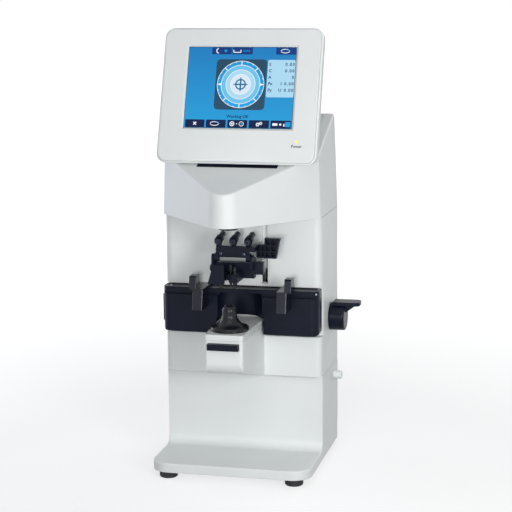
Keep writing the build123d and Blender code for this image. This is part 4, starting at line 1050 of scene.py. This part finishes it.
class LENSMETER_OT_slot_shutter(bpy.types.Operator):
    """White strip behind the wall that closes the slot above the holder's stem"""
    bl_idname = "lensmeter.slot_shutter"
    bl_label = "Slot shutter"

    def execute(self, context):
        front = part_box("body_cover")[0][1] / MM + WALL_BACK + SHUTTER_GAP
        middle = box_middle("holder_rail").x / MM
        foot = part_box("holder_stem")[1][2] / MM - SHUTTER_FOOT
        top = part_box("holder_rail")[1][2] / MM
        outline = rounded(middle - SHUTTER_WIDTH / 2, middle + SHUTTER_WIDTH / 2, foot, top,
                          SHUTTER_CORNER)

        def behind_wall(x, z, back):
            return Vector((x, front + back, z)) * MM

        def draw(bm):
            plate(bm, outline, behind_wall, 0.0, SHUTTER_THICKNESS)

        layered_piece("slot_shutter", [(finish(white_abs), draw)], "holder")
        return {"FINISHED"}


# Nodes of the table's polycarbonate that are moulded in a polished tool
POLISHED = ("frame_clip_left", "frame_clip_right", "marking_pens")


class LENSMETER_OT_finishes(bpy.types.Operator):
    """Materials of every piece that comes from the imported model"""
    bl_idname = "lensmeter.finishes"
    bl_label = "Finishes"

    def execute(self, context):
        for part in frame["record"]["subparts"]:
            maker = FINISH_OF_SLOT[part["material_slot"]]
            if part["node"] in POLISHED:
                maker = polished_polycarbonate
            for holder in frame["nodes"][part["node"]].material_slots:
                holder.material = finish(maker)
        return {"FINISHED"}


# Stage

def ray_is(tree, *kinds):
    """Socket that is 1 for rays of these kinds and 0 for others."""
    path = add_node(tree, "ShaderNodeLightPath")
    found = path.outputs[kinds[0]]
    for kind in kinds[1:]:
        found = add_node(tree, "ShaderNodeMath", {0: found, 1: path.outputs[kind]},
                         operation="MAXIMUM").outputs[0]
    return found


def surroundings(strength):
    """White surroundings: full white to the camera and in reflections, softer as light."""
    world = bpy.data.worlds.new("surroundings")
    world.use_nodes = True
    tree = world.node_tree
    tree.nodes.clear()
    seen = ray_is(tree, "Is Camera Ray", "Is Transmission Ray", "Is Glossy Ray")
    level = add_node(tree, "ShaderNodeMapRange", {"Value": seen}, To_Min=strength)
    white = add_node(tree, "ShaderNodeBackground", {"Strength": level.outputs[0]},
                     Color=(1, 1, 1, 1))
    add_node(tree, "ShaderNodeOutputWorld", {"Surface": white.outputs[0]})
    return world


def studio_floor():
    """Matt pale sweep with a faint mottle, lifted to white for the camera, with shadow kept.

    The lift grows away from the object, so that the sweep's far end is white as well.
    """
    material, tree, shader = new_material(
        "studio_floor", Roughness=0.9, Specular_IOR_Level=0.1, Emission_Color=(1, 1, 1, 1))
    mottle = drift(tree, grains(tree, 400.0, 2.0), linear("#A4A6A8"), linear("#ACADAE"))
    tree.links.new(mottle, shader.inputs["Base Color"])
    place = add_node(tree, "ShaderNodeTexCoord")
    away = add_node(tree, "ShaderNodeVectorMath", {0: place.outputs["Object"]},
                    operation="LENGTH")
    near, far = FLOOR_REACH
    lift = add_node(tree, "ShaderNodeMapRange", {"Value": away.outputs["Value"]},
                    From_Min=near, From_Max=far, To_Min=FLOOR_LIFT)
    seen = ray_is(tree, "Is Camera Ray", "Is Glossy Ray")
    lift = add_node(tree, "ShaderNodeMath", {0: lift.outputs[0], 1: seen},
                    operation="MULTIPLY")
    tree.links.new(lift.outputs[0], shader.inputs["Emission Strength"])
    return material


def area_lamp(name, watts, heading, height, distance, size, tint):
    """Soft lamp aimed at the object's middle."""
    lamp = bpy.data.lights.new(name, "AREA")
    lamp.shape = "RECTANGLE"
    lamp.size, lamp.size_y = size
    lamp.energy = watts
    lamp.color = linear(tint)[:3]
    turn = math.radians(heading)
    place = Vector((distance * math.sin(turn), -distance * math.cos(turn), height))
    holder = new_object(name, lamp)
    holder.location = place
    holder.rotation_euler = (place - LAMP_TARGET).to_track_quat("Z", "Y").to_euler()
    holder.visible_camera = False


FLOOR_LIFT = 0.66  # share of white added to the floor beside the object
FLOOR_REACH = (0.3, 1.3)  # metres over which the share grows to 1
LAMP_TARGET = Vector((0, -0.03, 0.25))
# Lamp: degrees right of the front; height, distance and two sizes in metres; colour
LAMPS = {
    "key": (41, 0.42, 1.15, (0.36, 0.36), "#FFFFFF"),
    "fill": (5, 0.36, 1.6, (0.35, 0.35), "#FFFFFF"),
    "top": (12, 1.35, 0.95, (0.9, 0.9), "#FFFFFF"),
    "strip": (-110, 0.3, 1.35, (0.5, 0.9), "#EAF1FF"),
    "back": (155, 1.5, 2.1, (1.4, 1.4), "#FFFFFF"),
}
CAMERA_PLACE = (0.3902, -1.6381, 0.54053)
CAMERA_YAW = math.radians(13.45)  # to the right of straight ahead
CAMERA_PITCH = math.radians(10.49)  # looking down
CAMERA_ROLL = math.radians(-0.49)


class LENSMETER_OT_stage(bpy.types.Operator):
    """Floor, soft lamps, white surroundings and the photograph's camera"""
    bl_idname = "lensmeter.stage"
    bl_label = "Stage"

    def execute(self, context):
        stage = settings("stage")
        scene = context.scene
        scene.view_settings.view_transform = "Standard"
        scene.world = surroundings(stage.ambient)
        bm = bmesh.new()
        bmesh.ops.create_grid(bm, x_segments=8, y_segments=8, size=12.0)
        mesh = bpy.data.meshes.new("floor")
        bm.to_mesh(mesh)
        bm.free()
        mesh.materials.append(studio_floor())
        new_object("floor", mesh)
        for name, lamp in LAMPS.items():
            area_lamp(name, getattr(stage, name), *lamp)
        data = bpy.data.cameras.new("camera")
        data.sensor_width = 36
        data.lens = stage.focal
        camera = new_object("camera", data)
        camera.matrix_world = (
            Matrix.Translation(CAMERA_PLACE)
            @ Matrix.Rotation(CAMERA_YAW, 4, "Z")
            @ Matrix.Rotation(math.pi / 2 - CAMERA_PITCH, 4, "X")
            @ Matrix.Rotation(CAMERA_ROLL, 4, "Z")
        )
        scene.camera = camera
        return {"FINISHED"}


class LENSMETER_PT_panel(bpy.types.Panel):
    """Sizes and colours of the lensmeter, and the steps that make its looks"""
    bl_idname = "LENSMETER_PT_panel"
    bl_label = "Lensmeter"
    bl_space_type = "VIEW_3D"
    bl_region_type = "UI"
    bl_category = "Lensmeter"

    def draw(self, context):
        for operator in OPERATORS:
            self.layout.operator(operator.bl_idname)
        for name, group in GROUPS.items():
            box = self.layout.box()
            box.label(text=name.capitalize())
            for key in group.__annotations__:
                box.prop(settings(name), key)


GROUPS = {
    "finish": LensmeterFinish,
    "picture": LensmeterPicture,
    "detail": LensmeterDetail,
    "stage": LensmeterStage,
}
OPERATORS = (
    LENSMETER_OT_stage,
    LENSMETER_OT_finishes,
    LENSMETER_OT_picture,
    LENSMETER_OT_lamp_mark,
    LENSMETER_OT_screws,
    LENSMETER_OT_table_studs,
    LENSMETER_OT_slot_shutter,
    LENSMETER_OT_paper_slot,
    LENSMETER_OT_contacts,
)


def register():
    for name, group in GROUPS.items():
        bpy.utils.register_class(group)
        setattr(bpy.types.Scene, "lensmeter_" + name, bpy.props.PointerProperty(type=group))
    for kind in (*OPERATORS, LENSMETER_PT_panel):
        bpy.utils.register_class(kind)


def unregister():
    for kind in (LENSMETER_PT_panel, *reversed(OPERATORS)):
        bpy.utils.unregister_class(kind)
    for name, group in GROUPS.items():
        delattr(bpy.types.Scene, "lensmeter_" + name)
        bpy.utils.unregister_class(group)


def main():
    """Make the looks, in the order of the operators."""
    register()
    for operator in OPERATORS:
        getattr(bpy.ops.lensmeter, operator.bl_idname.partition(".")[2])()


if __name__ == "__main__":
    main()
